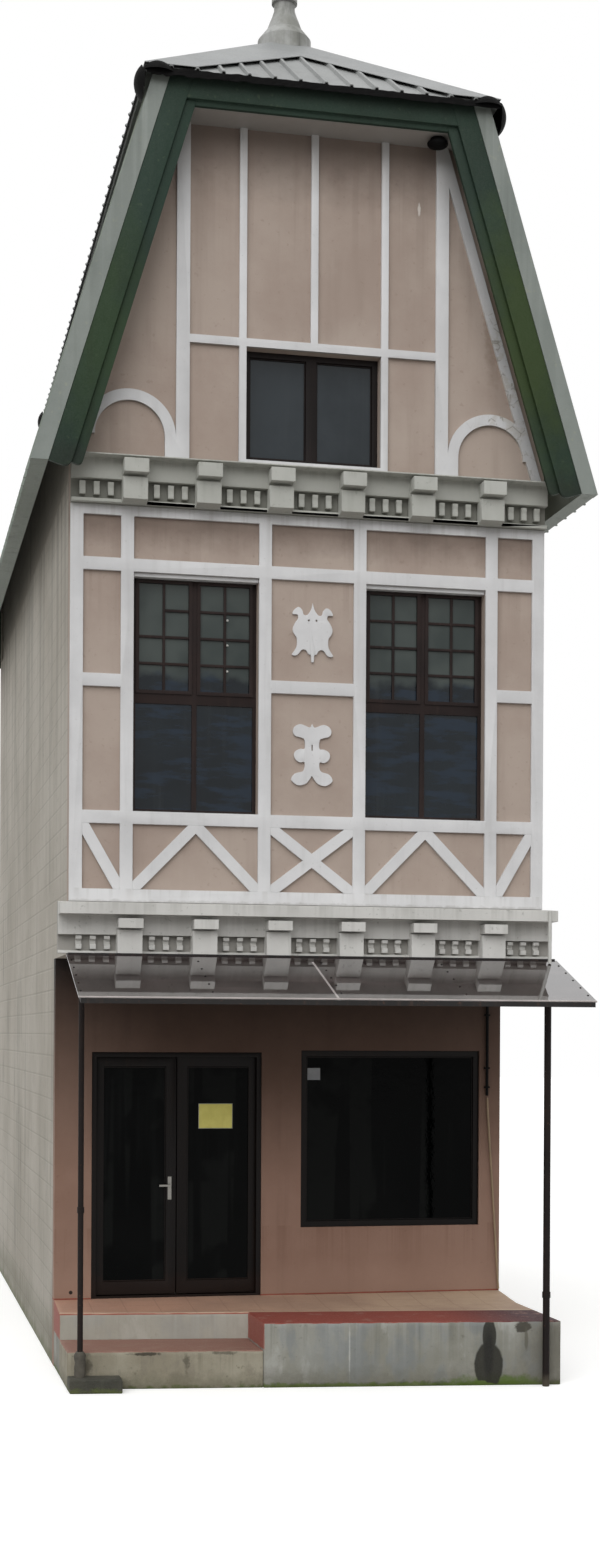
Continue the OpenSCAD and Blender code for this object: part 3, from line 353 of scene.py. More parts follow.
def peeledBoard(finish):
    # the right slope's board has cracked and peeled
    tree = finish["tree"]
    cracks = addNode(tree, "TexVoronoi", {"Vector": objectPlace(tree), "Scale": 9.0},
                     feature="DISTANCE_TO_EDGE").outputs["Distance"]
    peeled = times(stain(finish, (1.75, 0.0, 8.6), (0.42, 0.3, 1.1), 0.4, 0.3, 3.0),
                   cloudy(finish, 7.0, 0.7, 0.46, 0.58))
    cover(finish, times(peeled, spread(cracks, 0.06, 0.0)), "#57524b", 0.8)
    cover(finish, peeled, "#b7b1a6", 0.45)


def sheetScratch(finish):
    # a long white scratch across the canopy
    scratch = {"back": (-0.052, -0.30), "front": (-0.031, -1.12), "half": 0.009, "wander": 0.008}
    tree = finish["tree"]
    parts = axes(tree)
    back, front = scratch["back"], scratch["front"]
    lean = (front[0] - back[0]) / (front[1] - back[1])
    middle = plus(times(minus(parts[1], back[1]), lean), back[0])
    away = reckon("ABSOLUTE", minus(parts[0], middle))
    away = plus(away, times(noise(tree, 12.0), scratch["wander"]))
    cover(finish, times(spread(away, scratch["half"] * 2, scratch["half"]),
                        past(finish, 1, back[1] + 0.02, back[1])), "#c2bab8", 0.9)


# Looks. Paints are ground, patches, streaks and specks, with amounts for the last two. Scales are those
# of patches, streaks, specks and grain, and heights those of grain and patches.
concrete = {
    "paints": "#9c9a92 #84827a #68665c #4f4d45", "amounts": (0.4, 0.6),
    "scales": (2.5, 8, 40, 60), "heights": (0.003, 0.006), "roughness": (0.75, 0.95)}
cornice = {
    "paints": "#b9bab4 #acada6 #83847b #77786f", "amounts": (0.25, 0.35),
    "scales": (1.2, 9, 26, 100), "heights": (0.0008, 0.003), "roughness": (0.6, 0.85)}
joinery = {
    "paints": "#0f0a08 #0a0706 #1f150f #2d231d", "amounts": (0.5, 0.2), "specular": 0.12,
    "scales": (2, 30, 50, 160), "heights": (0.0004, 0.0008), "roughness": (0.35, 0.55)}
steel = {
    "paints": "#151211 #0f0d0c #4d3a30 #6d4a35", "amounts": (0.5, 0.35), "specular": 0.3,
    "scales": (4, 20, 45, 180), "heights": (0.0006, 0.001), "roughness": (0.5, 0.75)}
sage = {
    "paints": "#868e86 #798178 #565d55 #969a83", "amounts": (0.5, 0.3), "metallic": 0.1,
    "scales": (1, 7, 18, 70), "heights": (0.0006, 0.003), "roughness": (0.45, 0.7)}
greySheet = {
    "paints": "#939594 #868887 #6f7272 #9b9d9b", "amounts": (0.45, 0.35), "metallic": 0.1,
    "scales": (1.3, 8, 20, 70), "heights": (0.0005, 0.002), "roughness": (0.4, 0.6)}
paper = {
    "paints": "#f0e986 #e4dc78 #aaa458 #7d7a45", "amounts": (0.2, 0.15),
    "scales": (6, 30, 90, 300), "heights": (0.0001, 0.001), "roughness": (0.6, 0.75)}
plastic = {
    "paints": "#b9b1ae #a8a09d #7c7472 #5f5755", "amounts": (0.4, 0.3),
    "scales": (4, 20, 60, 200), "heights": (0.0002, 0.0005), "roughness": (0.4, 0.55)}
porchTop, stepTop = porch["top"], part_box("low_step")[1].z
upperTop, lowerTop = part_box("upper_cornice")[1].z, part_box("lower_cornice")[1].z
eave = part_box("fascia_boards")[1].z
looks = {
    "bayPlaster": {
        "paints": "#b0a196 #a29186 #8f7f74 #8b7a6e", "amounts": (0.35, 0.3),
        "scales": (0.9, 5, 24, 130), "heights": (0.0006, 0.004), "roughness": (0.7, 0.9), "layers": (
            (band, (7.12, 7.6, 0.22, 0.05), "#6f5f55", 0.7),  # darker under the upper cornice
            (band, (10.15, 11.4, 0.85, 0.08), "#382b25", 0.95),  # painted shade under the soffit
            (runs, (10.8, 1.3, 9), "#7d6d63", 0.35),
            (runs, (7.42, 0.35, 12), "#796a60", 0.4),
            (runs, (6.95, 0.5, 11), "#85756a", 0.3),
            (stain, ((1.62, 0.03, 9.35), (0.1, 0.3, 0.7), 0.5, 0.3), "#75604f", 0.45),
            (stain, ((0.94, 0.03, 10.24), (0.014, 0.1, 0.07), 0.4, 0.3, 30), "#d8d2cb", 0.8))},
    "shopPlaster": {
        "paints": "#9a7d6e #8d7061 #755b4e #7a5d50", "amounts": (0.35, 0.3), "specular": 0.2,
        "scales": (0.8, 5, 20, 130), "heights": (0.0006, 0.004), "roughness": (0.55, 0.8), "layers": (
            (band, (1.7, 9, 1.9, 0.05), "#150d09", 1),  # painted shade under the canopy
            (band, (0.5, 0.95, 0.3, 0.06), "#a98d7d", 0.35),  # lighter at the foot
            (band, (0.59, 0.612, 0.004, 0.002), "#8a4a3c", 1),  # red line where the floor meets it
            (runs, (1.24, 0.45, 13), "#7a5c4d", 0.35),
            # painted shade of a small hole in the wall
            (stain, ((-1.949, 1.2, 0.662), (0.019, 0.1, 0.019), 0.15, 0.08), "#0c0908", 0.95),
            (facing, (1, 0.5, 0.6), "#cfc8bd", 1))},  # the rooms behind are off-white
    "plainRender": {
        "paints": "#bdb8ae #aaa499 #77736a #6d6a60", "amounts": (0.55, 0.35),
        "scales": (0.5, 4, 14, 60), "heights": (0.0012, 0.006), "roughness": (0.8, 0.95), "layers": (
            blockCourses,
            (runs, (7.75, 3.5, 5), "#6b675e", 0.45, facing, (1, 0.6, 0.4)),
            (runs, (10.8, 2, 6), "#6b675e", 0.45),
            (band, (-0.1, 0.5, 0.35, 0.12, 3), "#6f6e5c", 0.65),
            (band, (-0.1, 0.12, 0.1, 0.06, 5), "#56603a", 0.6))},
    # stained white plaster below, tiles and worn red paint on top
    "porchTiles": {
        "paints": "#98978e #838278 #7f7e70 #5e5c50", "amounts": (0.12, 0.4), "specular": 0.3,
        "scales": (1.6, 9, 26, 90), "heights": (0.0014, 0.005), "roughness": (0.55, 0.85), "layers": (
            (cloudy, (3.6, 0.6, 0.5, 0.62, (1, 1, 0.45)), "#797e80", 0.6),
            (cloudy, (3.6, 0.6, 0.46, 0.36, (1, 1, 0.45)), "#acaca6", 0.6),
            (runs, (porchTop, 0.5, 9, 0.55), "#a9aba8", 0.3),
            (runs, (porchTop, 0.42, 22, 0.35), "#5d5f58", 0.35),
            (stain, ((0.28, -0.33, 0.3), (0.01, 0.3, 0.26), 0.7, 0.3), "#c9c9c4", 0.6),
            (stain, ((0.05, -0.33, 0.3), (0.35, 0.4, 0.3), 0.9, 0.3, 5), "#8f9290", 0.5),
            (band, (-0.1, 0.18, 0.14, 0.07, 7), "#67655a", 0.65),
            (band, (-0.1, 0.045, 0.04, 0.035, 10), "#2f3917", 0.9),  # moss along the foot
            (band, (-0.1, 0.04, 0.02, 0.03, 14), "#55632b", 0.75),
            (stain, ((1.55, -0.48, 0.02), (0.5, 0.6, 0.09), 0.5, 0.4), "#4d6120", 0.8),
            dampBottle,
            (stain, ((1.77, -0.5, 0.5), (0.085, 0.4, 0.05), 0.2, 0.35, 12), "#3a362e", 0.9),
            (stain, ((1.8, -0.5, 0.4), (0.02, 0.4, 0.12), 0.4, 0.25, 12), "#57554a", 0.7),
            (stain, ((2, -0.5, 0.25), (0.3, 0.5, 0.45), 0.7, 0.3, 5), "#5f5b50", 0.6),
            (facing, (0, -0.6, -0.7), "#944f43", 0.9, band, (0.32, 0.6, 0.01, 0.01)),
            (facing, (1, -0.6, -0.8), "#bcb7aa", 0.45, past, (0, porch["side"], porch["side"] - 0.01)),
            # a red nosing over the low step
            (band, (porchTop - 0.018, porchTop + 0.1, 0.003, 0.002), "#97584a", 1,
             past, (0, porch["side"], porch["side"] - 0.01)),
            porchFloor)},
    "stepPlaster": {
        "paints": "#9d9786 #8a8371 #77705e #59543f", "amounts": (0.5, 0.5),
        "scales": (2, 9, 26, 90), "heights": (0.0014, 0.005), "roughness": (0.6, 0.9), "layers": (
            (cloudy, (4, 0.65, 0.5, 0.62, (1, 1, 0.6)), "#7d7668", 0.65),
            (runs, (stepTop - 0.02, 0.25, 18, 0.45), "#635f4e", 0.4),
            (stain, ((-1.93, -0.06, 0.2), (0.06, 0.3, 0.09), 0.5, 0.8, 14), "#3a3529", 0.6),
            (stain, ((-1.1, -0.15, 0.22), (0.03, 0.3, 0.1), 0.5, 0.8, 14), "#3a3529", 0.6),
            (stain, ((-0.8, -0.19, 0.3), (0.1, 0.3, 0.02), 0.5, 0.8, 14), "#3a3529", 0.6),
            (band, (-0.1, 0.16, 0.14, 0.06, 9), "#5b5844", 0.7),
            (band, (-0.1, 0.03, 0.03, 0.03, 14), "#46541f", 0.85),
            (stain, ((-1.45, -0.12, 0.295), (0.15, 0.3, 0.018), 0.4, 0.5, 16), "#2a2417", 0.9),
            (facing, (2,), "#91796a", 1),
            (facing, (2,), "#84594d", 0.42, cloudy, (6, 0.7, 0.62, 0.5)),  # its paint is worn through
            (band, (stepTop - 0.012, stepTop + 0.1, 0.004, 0.006, 20), "#83584c", 0.45))},
    "slabConcrete": concrete,
    "padConcrete": {
        **concrete, "paints": "#4c4a40 #37372f #68665c #4f4d45", "heights": (0.008, 0.006),
        "layers": ((band, (-0.1, 0.05, 0.05, 0.03, 14), "#59642e", 0.8),)},
    "whitePaint": {
        "paints": "#d9d9da #cbcbcc #a9a8a6 #8e8b86", "amounts": (0.3, 0.18),
        "scales": (1.4, 9, 34, 110), "heights": (0.0005, 0.002), "roughness": (0.45, 0.65), "layers": (
            (runs, (7.49, 0.5, 14), "#a4a19c", 0.26),
            (runs, (4.24, 0.12, 13), "#a29f99", 0.25),
            (band, (4.1, 4.15, 0.02, 0.02, 12), "#8b8780", 0.35),
            # painted shade on the timbers under the soffit
            (band, (10.2, 11, 0.6, 0.08), "#8d867f", 0.55),
            # painted shade on the faces that look down, such as the soffits
            (facing, (2, -0.4, -0.6), "#8a847c", 0.6, band, (7.6, 11, 0.1)),
            peeledBoard)},
    "upperCornicePaint": {
        **cornice, "layers": (
            (past, (1, -0.13, -0.1), "#aeafa8", 0.8),  # painted shade on all but the most projecting faces: only the brackets' faces and the top band stay light
            # painted shade in the pockets behind the frieze
            (past, (1, -0.055, -0.025), "#605f56", 0.75),
            (runs, (upperTop - 0.01, 0.1, 14), "#75766c", 0.3),
            (runs, (upperTop - 0.19, 0.22, 9), "#6f7066", 0.22),
            (facing, (2,), "#8b8c82", 0.6),
            (stain, ((0.965, -0.1, 7.912), (0.055, 0.3, 0.009), 0.4, 0.4, 20), "#2a2722", 0.9),
            (facing, (1, 0.5, 0.6), "#cfc8bd", 1))},
    "lowerCornicePaint": {
        **cornice, "paints": "#d3d2ce #c6c5c1 #83847b #77786f", "layers": (
            # painted shade in the recess, darkest at its back
            (past, (1, -0.055, -0.025), "#6d685f", 0.25),
            (past, (1, -0.035, -0.015), "#6d685f", 0.5),
            (runs, (lowerTop - 0.02, 0.12, 14), "#8a8880", 0.25),
            (runs, (lowerTop - 0.12, 0.3, 9), "#84827a", 0.22),
            (facing, (2,), "#b5b4ae", 0.6),
            (stain, ((2.035, -0.07, 4.137), (0.03, 0.3, 0.011), 0.4, 0.5, 20), "#2f2b26", 0.8))},
    "brownStain": {
        **joinery, "layers": ((band, (0.5, 0.85, 0.25, 0.04), "#2b1a12", 0.6),)},  # splashed at the foot
    "windowStain": {**joinery, "paints": "#2a201e #201918 #3b2f2b #2d231d"},
    "gableStain": {**joinery, "paints": "#1a1413 #130f0e #2a211e #2d231d"},
    "darkSteel": steel,
    "postSteel": {
        **steel, "paints": "#1b1412 #130e0d #33261f #6d4a35", "specular": 0.15,
        "layers": ((band, (-0.1, 0.12, 0.08, 0.03, 14), "#5d564b", 0.6),)},  # splashed with mud
    "handleSteel": {
        **steel, "paints": "#7f7d78 #6f6d68 #8e8b84 #77736b", "amounts": (0.5, 0.3),
        "metallic": 1, "roughness": (0.22, 0.38), "heights": (0.0002, 0.0002)},
    "canopySheet": {
        "paints": "#342a2a #2b2324 #5c504f #7d7471", "amounts": (0.3, 0.25), "specular": 0.75,
        "scales": (1.5, 5, 40, 6), "heights": (0.0003, 0.0003), "roughness": (0.02, 0.05),
        "sockets": {"Coat Weight": 1, "Coat Roughness": 0.02, "Transmission Weight": 0.15}, "layers": (
            (cloudy, (2.4, 0.6, 0.5, 0.68, (0.35, 2, 1)), "#5d5150", 0.4),  # dried dust in long smears
            (past, (1, -1.14, -1.17), "#7c7471", 0.6, cloudy, (5, 0.55, 0.4, 0.5, None, 4)),
            sheetScratch)},
    "sageSheet": {
        **sage, "layers": (
            (band, (10.3, 11.2, 0.5, 0.2, 4), "#8d9178", 0.25),  # lichen below the eaves
            (runs, (11.1, 3.2, 6), "#4e554c", 0.35))},
    "flashingSheet": {
        **sage, "paints": "#848a85 #767d78 #565d55 #969a83", "scales": (1, 4, 18, 70),
        "layers": (
            (runs, (11, 3.4, 5), "#565d57", 0.4),
            (runs, (11, 2, 11, 0.4), "#a3a8a3", 0.25))},
    "greySheet": greySheet,
    "cappingSheet": {
        **greySheet, "paints": "#959797 #8a8c8c #6f7272 #9b9d9b", "amounts": (0.3, 0.35)},
    "finialPaint": {
        **greySheet, "paints": "#adaeac #84857f #63645f #9b9d9b", "amounts": (0.8, 0.35),
        "scales": (3, 16, 20, 70), "heights": (0.001, 0.002), "metallic": 0,
        "layers": ((runs, (13.2, 1.1, 20, 0.65), "#5f605b", 0.6),)},
    # green boards, weathered and mossy
    "greenPaint": {
        "paints": "#22342a #1c2c22 #131b16 #48543f", "amounts": (0.5, 0.3), "specular": 0.3,
        "scales": (1.6, 9, 22, 110), "heights": (0.0008, 0.002), "roughness": (0.6, 0.85), "layers": (
            (stain, ((1.85, -0.3, 9.2), (0.6, 0.6, 1.6), 0.7, 0.3, 3), "#34431f", 0.8),
            (stain, ((-1.9, -0.3, 9), (0.5, 0.6, 1.5), 0.7, 0.3, 3), "#2d4023", 0.6),
            (band, (7.5, 7.95, 0.15, 0.1, 5), "#1d231c", 0.6),
            (band, (eave - 0.17, eave + 1, 0.15, 0.01, 4), "#0a0f0c", 0.8))},  # painted shade under the eave
    "yellowPaper": paper,
    "palePaper": {**paper, "paints": "#a9adb0 #9a9ea2 #7c8084 #6d7074", "amounts": (0.3, 0.15)},
    "whitePlastic": {
        **plastic, "paints": "#c9c9c5 #b9b9b3 #8d8c84 #77766e", "amounts": (0.5, 0.3),
        "scales": (5, 20, 60, 200), "roughness": (0.35, 0.5)},
    # black tar, also dressed on the corner hoods and the rib ends as painted shade
    "tar": {
        "paints": "#060606 #0b0a0a #040404 #211f1d", "amounts": (0.4, 0.4), "specular": 0.08,
        "scales": (5, 16, 50, 120), "heights": (0.0015, 0.003), "roughness": (0.5, 0.8)},
    "cement": {
        "paints": "#57534a #423f38 #2e2c27 #6f6b60", "amounts": (0.4, 0.6),
        "scales": (9, 20, 60, 90), "heights": (0.003, 0.004), "roughness": (0.75, 0.95)},
    "edging": plastic,
    "conduit": {**plastic, "paints": "#9a8468 #87745c #5f554d #4f463f"}}


# Glass
def makeGlass(name, look):
    made, tree = newMaterial(name)
    wear = useGroup(tree, weather, (1.1, 7.0, 60.0, 3.0))
    colour = mixPaint(wear["Patches"], paint(look["base"]), paint(look["patch"]))
    if "tint" in look:
        # painted reflection: bluish daylight lies across the panes in broken level bands
        lying = spread(noise(tree, 2.4, 5, 0.6, stretch=(1, 1, 4.5)), 0.46, 0.62)
        colour = mixPaint(times(lying, 0.50), colour, paint(look["tint"]))
    # painted reflection: the upper panes turn lighter and greyer above a wavy level, in broad patches
    if "upper" in look:
        level = plus(axes(tree)[2], times(noise(tree, 2.2, 4), 0.35))
        mask = spread(level, look["level"], look["level"] + 0.10)
        glow = spread(noise(tree, 1.2, 3), 0.4, 0.6)
        colour = mixPaint(mask, colour, paint(look["upper"]))
        colour = mixPaint(times(mask, glow), colour, paint(look["upperPatch"]))
    if "strips" in look:
        # pale hangings show faintly behind the dark glass
        hung = spread(noise(tree, 4.2, 2, 0.4, stretch=(1, 0, 0.03)), 0.50, 0.53)
        drop = spread(noise(tree, 1.7, 3), 0.42, 0.52)
        colour = mixPaint(times(hung, drop, 0.6), colour, paint(look["strips"]))
    colour = mixPaint(times(wear["Streaks"], look["dust"]), colour, paint("#565a5a"))
    fillInputs(tree.nodes["Principled BSDF"], {
        "Base Color": colour, "Normal": bump(times(wear["Grain"], 0.0015)), "IOR": 1.45,
        "Roughness": spread(wear["Streaks"], 0.0, 1.0, look["roughness"], look["roughness"] + 0.12),
        "Specular IOR Level": look["specular"], "Transmission Weight": look["through"]})
    return made


glassLooks = {
    "shopGlass": {"base": "#020303", "patch": "#070808", "strips": "#171918", "dust": 0.04,
                  "roughness": 0.03, "specular": 0.04, "through": 0.0},
    "bayGlass": {"base": "#10181e", "patch": "#1a242b", "tint": "#24364a", "upper": "#4b5350",
                 "upperPatch": "#394240", "level": 6.22, "dust": 0.12, "roughness": 0.05, "specular": 0.3,
                 "through": 0.15},
    "gableGlass": {"base": "#353c41", "patch": "#2a3136", "dust": 0.12, "roughness": 0.05, "specular": 0.3,
                   "through": 0.15}}

finishes = {name: makeGlass(name, look) for name, look in glassLooks.items()}
for name, look in looks.items():
    started = begin(name, look)
    addLayers(started, look.get("layers", ()))
    finishes[name] = close(started)

dressed = {
    "bayPlaster": "bay_wall gable_wall",
    "shopPlaster": "front_wall_left front_wall_over_door front_wall_right",
    "plainRender": "party_wall_left party_wall_right rear_ground_wall rear_upper_wall",
    "porchTiles": "porch_block", "stepPlaster": "low_step", "padConcrete": "post_pad",
    "slabConcrete": "ground_slab first_floor attic_floor",
    "whitePaint": "bay_timbers bay_braces wall_ornaments gable_timbers verge_soffits",
    "upperCornicePaint": "upper_cornice", "lowerCornicePaint": "lower_cornice",
    "brownStain": "door_frame left_leaf right_leaf shop_window_frame",
    "windowStain": "bay_window_frames rear_window_frames", "gableStain": "gable_window_frame",
    "shopGlass": "left_leaf_glass right_leaf_glass shop_window_glass",
    "bayGlass": "bay_window_glass", "gableGlass": "gable_window_glass rear_window_glass",
    # the corner hoods are dressed black: painted shade of the capping's shaded underside
    "darkSteel": "door_hinges canopy_frame", "tar": "eaves_trim corner_hoods",
    "postSteel": "canopy_posts", "handleSteel": "door_handle", "canopySheet": "canopy_sheet",
    "sageSheet": "steep_roof_left steep_roof_right", "flashingSheet": "verge_flashings",
    "greySheet": "hip_roof", "cappingSheet": "hip_cappings", "finialPaint": "finial",
    "greenPaint": "barge_boards fascia_boards rear_barge_boards"}
for name, parts in dressed.items():
    for part in parts.split():
        nodes[part].data.materials.clear()
        nodes[part].data.materials.append(finishes[name])
print("finishes made")


# Helpers for the pieces that the scene adds
seat = 0.0003  # room between a small piece and what it lies on
weld = 0.00002  # points of a node closer than this are one
hair = 0.000004  # and so are points of a finished piece


def addPiece(name, bm, finish, body="building", angle=35):
    bmesh.ops.remove_doubles(bm, verts=bm.verts, dist=hair)
    bmesh.ops.recalc_face_normals(bm, faces=bm.faces)
    mesh = bpy.data.meshes.new(name)
    bm.to_mesh(mesh)
    bm.free()
    mesh.shade_smooth()
    mesh.set_sharp_from_angle(angle=math.radians(angle))
    mesh.materials.append(finishes[finish])
    piece = newObject(name, mesh)
    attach(piece, body)
    return piece


def makePiece(fill, finish, body="building", angle=35):
    # a piece with the name of the function that fills its bmesh
    bm = bmesh.new()
    fill(bm)
    addPiece(fill.__name__, bm, finish, body, angle)


def roundEdges(bm, edges, width, steps=2, clamp=False):
    bmesh.ops.bevel(bm, geom=edges, offset=width, segments=steps, profile=0.5, affect="EDGES", material=-1,
                    clamp_overlap=clamp)


def addBlock(bm, low, high, soft=0.0):
    # a block between two corners, with softened edges
    middle = [(a + b) / 2 for a, b in zip(low, high)]
    size = [b - a for a, b in zip(low, high)]
    place = Matrix.Translation(middle) @ Matrix.Diagonal((*size, 1))
    made = bmesh.ops.create_cube(bm, size=1, matrix=place)["verts"]
    if soft:
        roundEdges(bm, list({edge for corner in made for edge in corner.link_edges}), soft)
    return made


def addGrid(bm, across, up, place):
    # a grid whose points go where place puts their shares of the width and the height
    made = bmesh.ops.create_grid(bm, x_segments=across, y_segments=up, size=0.5)["verts"]
    for point in made:
        point.co = place(point.co.x + 0.5, point.co.y + 0.5)
    bm.normal_update()
    return made


def addRing(bm, low, high, width, soft):
    # a rectangular bead in the plane of the front, between two corners
    made = addGrid(bm, 1, 1, lambda across, up: (low[0] + across * (high[0] - low[0]), low[1],
                                                 low[2] + up * (high[2] - low[2])))
    face = made[0].link_faces[0]
    ring = bmesh.ops.inset_region(bm, faces=[face], thickness=width, use_boundary=True,
                                  use_even_offset=True)["faces"]
    bmesh.ops.delete(bm, geom=[face], context="FACES")
    grown = bmesh.ops.extrude_face_region(bm, geom=ring, use_keep_orig=True)["geom"]
    corners = [part for part in grown if isinstance(part, bmesh.types.BMVert)]
    bmesh.ops.translate(bm, verts=corners, vec=(0, high[1] - low[1], 0))
    front = {edge for part in ring for edge in part.edges if edge.calc_face_angle(0) > 1}
    roundEdges(bm, list(front), soft)


def addTurned(bm, profile, place, steps):
    # a turned piece: pairs of radius and height, spun about a line through its place
    before = set(bm.verts)
    ends = [bm.verts.new((radius, 0, height)) for radius, height in profile]
    edges = [bm.edges.new(pair) for pair in zip(ends[:-1], ends[1:])]
    bmesh.ops.spin(bm, geom=ends + edges, axis=(0, 0, 1), cent=(0, 0, 0), angle=2 * math.pi, steps=steps,
                   use_merge=True)
    bmesh.ops.remove_doubles(bm, verts=[corner for corner in bm.verts if corner not in before], dist=weld)
    bmesh.ops.transform(bm, matrix=place, verts=[corner for corner in bm.verts if corner not in before])


def copyNode(node, flat=1.0):
    # the node's own mesh, with its doubles merged and its flat faces whole
    bm = bmesh.new()
    bm.from_mesh(nodes[node].data)
    bmesh.ops.remove_doubles(bm, verts=bm.verts, dist=weld)
    bmesh.ops.dissolve_limit(bm, angle_limit=math.radians(flat), verts=bm.verts, edges=bm.edges)
    return bm


def sharpEdges(bm):
    return [edge for edge in bm.edges if abs(edge.calc_face_angle(0)) > math.radians(30)]


def standIn(node, bm, body="building", angle=25):
    # a piece for a node, with the node's finish and its name in camel case
    first, *rest = node.split("_")
    name = first + "".join(word.title() for word in rest)
    piece = addPiece(name, bm, nodes[node].data.materials[0].name, body, angle)
    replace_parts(piece, node)


# Copies of the plain solids with softened edges: the width of the edge for each node
softened = {
    "white_boards": {"bay_timbers": 0.004, "gable_timbers": 0.003, "wall_ornaments": 0.005},
    "cornice_stone": {"upper_cornice": 0.004, "lower_cornice": 0.004},
    "green_boards": {"barge_boards": 0.004, "fascia_boards": 0.004},
    "brown_joinery": {"door_frame": 0.003, "shop_window_frame": 0.003, "left_leaf": 0.0025,
                      "right_leaf": 0.0025, "bay_window_frames": 0.002, "gable_window_frame": 0.003}}
leaves = {"left_leaf": "left_door", "right_leaf": "right_door"}

for slot, widths in softened.items():
    for node, width in widths.items():
        bm = copyNode(node)
        roundEdges(bm, sharpEdges(bm), width, clamp=True)
        standIn(node, bm, leaves.get(node, "building"))


def wave(value, scale, seed):
    # a smooth wave between -1 and 1 that never repeats
    return rough.noise(Vector((value * scale, seed, seed * 0.37)))


# Copies of the masonry, cut into small faces and worn back along the edges
worn = {
    "porch_block": {"slot": "porch_tiles", "step": 0.045, "round": 0.008, "deep": 0.006},
    "low_step": {"slot": "step_plaster", "step": 0.035, "round": 0.008, "deep": 0.006},
    "post_pad": {"slot": "concrete", "step": 0.020, "round": 0.010, "deep": 0.008}}


def wearDown(node, look):
    bm = copyNode(node, 0.5)
    roundEdges(bm, sharpEdges(bm), look["round"], 3, clamp=True)
    low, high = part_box(node)
    for axis in range(3):
        count = max(2, round((high[axis] - low[axis]) / look["step"]))
        across = Vector([1.0 if axis == i else 0.0 for i in range(3)])
        for i in range(1, count):
            level = low[axis] + (high[axis] - low[axis]) * i / count
            bmesh.ops.bisect_plane(bm, geom=bm.verts[:] + bm.edges[:] + bm.faces[:], dist=0.0001,
                                   plane_co=across * level, plane_no=across)
    bm.normal_update()
    for point in bm.verts:
        turned = 1 - max(abs(part) for part in point.normal)
        chipped = max(0.0, 0.35 + rough.noise(point.co * 9) + 0.6 * rough.noise(point.co * 31))
        uneven = 0.0004 * (1 + rough.noise(point.co * 6))
        inward = uneven + look["deep"] * min(1.0, turned * 3.4) * min(1.0, chipped)
        point.co -= point.normal * inward
    standIn(node, bm, angle=50)


for node, look in worn.items():
    wearDown(node, look)

# The canopy's sheet, which ends a little short of its bright front edge
pane = {"thick": 0.0085, "back": 0.0029, "front": 0.01, "soft": 0.0008}
sheetLow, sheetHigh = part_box("canopy_sheet")
sheetDeep = sheetHigh.y - sheetLow.y
sheetSlope = math.atan2(sheetHigh.z - sheetLow.z - pane["thick"], sheetDeep)


def makePane():
    bm = copyNode("canopy_sheet")
    for point in bm.verts:
        if point.co.y < sheetLow.y + pane["front"]:
            point.co += Vector((0, pane["back"], pane["back"] * math.tan(sheetSlope)))
    roundEdges(bm, bm.edges[:], pane["soft"])
    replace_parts(addPiece("canopyPane", bm, "canopySheet", angle=20), "canopy_sheet")


makePane()
print("edges softened")


# Pipes beside the shop: points, radius and finish
pipes = {
    "drainPipe": (((2.080, -0.262, 4.10), (2.080, -0.262, 3.645)), 0.016, "whitePlastic"),
    "wallConduit": (((1.970, 1.180, 2.42), (1.975, 1.180, 2.30), (2.082, 1.180, 0.70), (2.089, 1.180, 0.615)),
                    0.010, "conduit"),
    "darkWallPipe": (((1.965, 1.176, 3.40), (1.965, 1.176, 2.44)), 0.014, "tar")}


def makePipe(name, points, radius, finish):
    line = bpy.data.curves.new(name, "CURVE")
    line.dimensions = "3D"
    line.bevel_depth = radius
    line.bevel_resolution = 4
    line.use_fill_caps = True
    route = line.splines.new("POLY")
    route.points.add(len(points) - 1)
    for end, point in zip(route.points, points):
        end.co = (*point, 1)
    holder = newObject(name + "Route", line)
    bm = bmesh.new()
    bm.from_mesh(bpy.data.meshes.new_from_object(holder))
    bpy.data.objects.remove(holder)
    addPiece(name, bm, finish)


for name, pipe in pipes.items():
    makePipe(name, *pipe)


# Saddles that hold the pipes
def pipeSaddles(bm):
    saddle = {"levels": (3.20, 2.70, 2.52), "x": 1.965, "front": 1.16, "back": 1.1995, "half": 0.026,
              "tall": 0.016, "soft": 0.004}
    for level in saddle["levels"]:
        addBlock(bm, (saddle["x"] - saddle["half"], saddle["front"], level - saddle["tall"] / 2),
                 (saddle["x"] + saddle["half"], saddle["back"], level + saddle["tall"] / 2), saddle["soft"])


makePiece(pipeSaddles, "tar")

# Blank papers taped to the glass
papers = {
    "yellowNotice": {"low": (-0.771, 2.142), "high": (-0.462, 2.364), "off": 0.0015, "thick": 0.0003,
                     "glass": "right_leaf_glass", "finish": "yellowPaper", "body": "right_door",
                     "border": 0.004, "lap": 0.002, "marginFront": 0.0012, "marginBack": 0.0002},
    "paleNotice": {"low": (0.231, 2.586), "high": (0.365, 2.697), "off": 0.0015, "thick": 0.0003,
                   "glass": "shop_window_glass", "finish": "palePaper", "body": "building"}}


def makePaper(name, look):
    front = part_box(look["glass"])[0].y - look["off"]
    low, high = look["low"], look["high"]

    def lie(across, up):
        # the upper right corner has come loose, and the rest is a little wavy
        lift = 0.004 * max(0.0, across + up - 1.55) ** 2 + 0.0006 * (1 + wave(across + up * 0.6, 7, 3.1))
        return low[0] + across * (high[0] - low[0]), front - lift, low[1] + up * (high[1] - low[1])

    bm = bmesh.new()
    addGrid(bm, 16, 12, lie)
    bmesh.ops.solidify(bm, geom=bm.faces[:], thickness=look["thick"])
    addPiece(name, bm, look["finish"], look["body"])


def noticeMargin(bm):
    # a pale margin round the yellow paper
    look = papers["yellowNotice"]
    border, low, high = look["border"], look["low"], look["high"]
    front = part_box(look["glass"])[0].y
    addRing(bm, (low[0] - border, front - look["marginFront"], low[1] - border),
            (high[0] + border, front - look["marginBack"], high[1] + border), border + look["lap"],
            look["thick"])


for name, look in papers.items():
    makePaper(name, look)
makePiece(noticeMargin, "palePaper", "right_door")


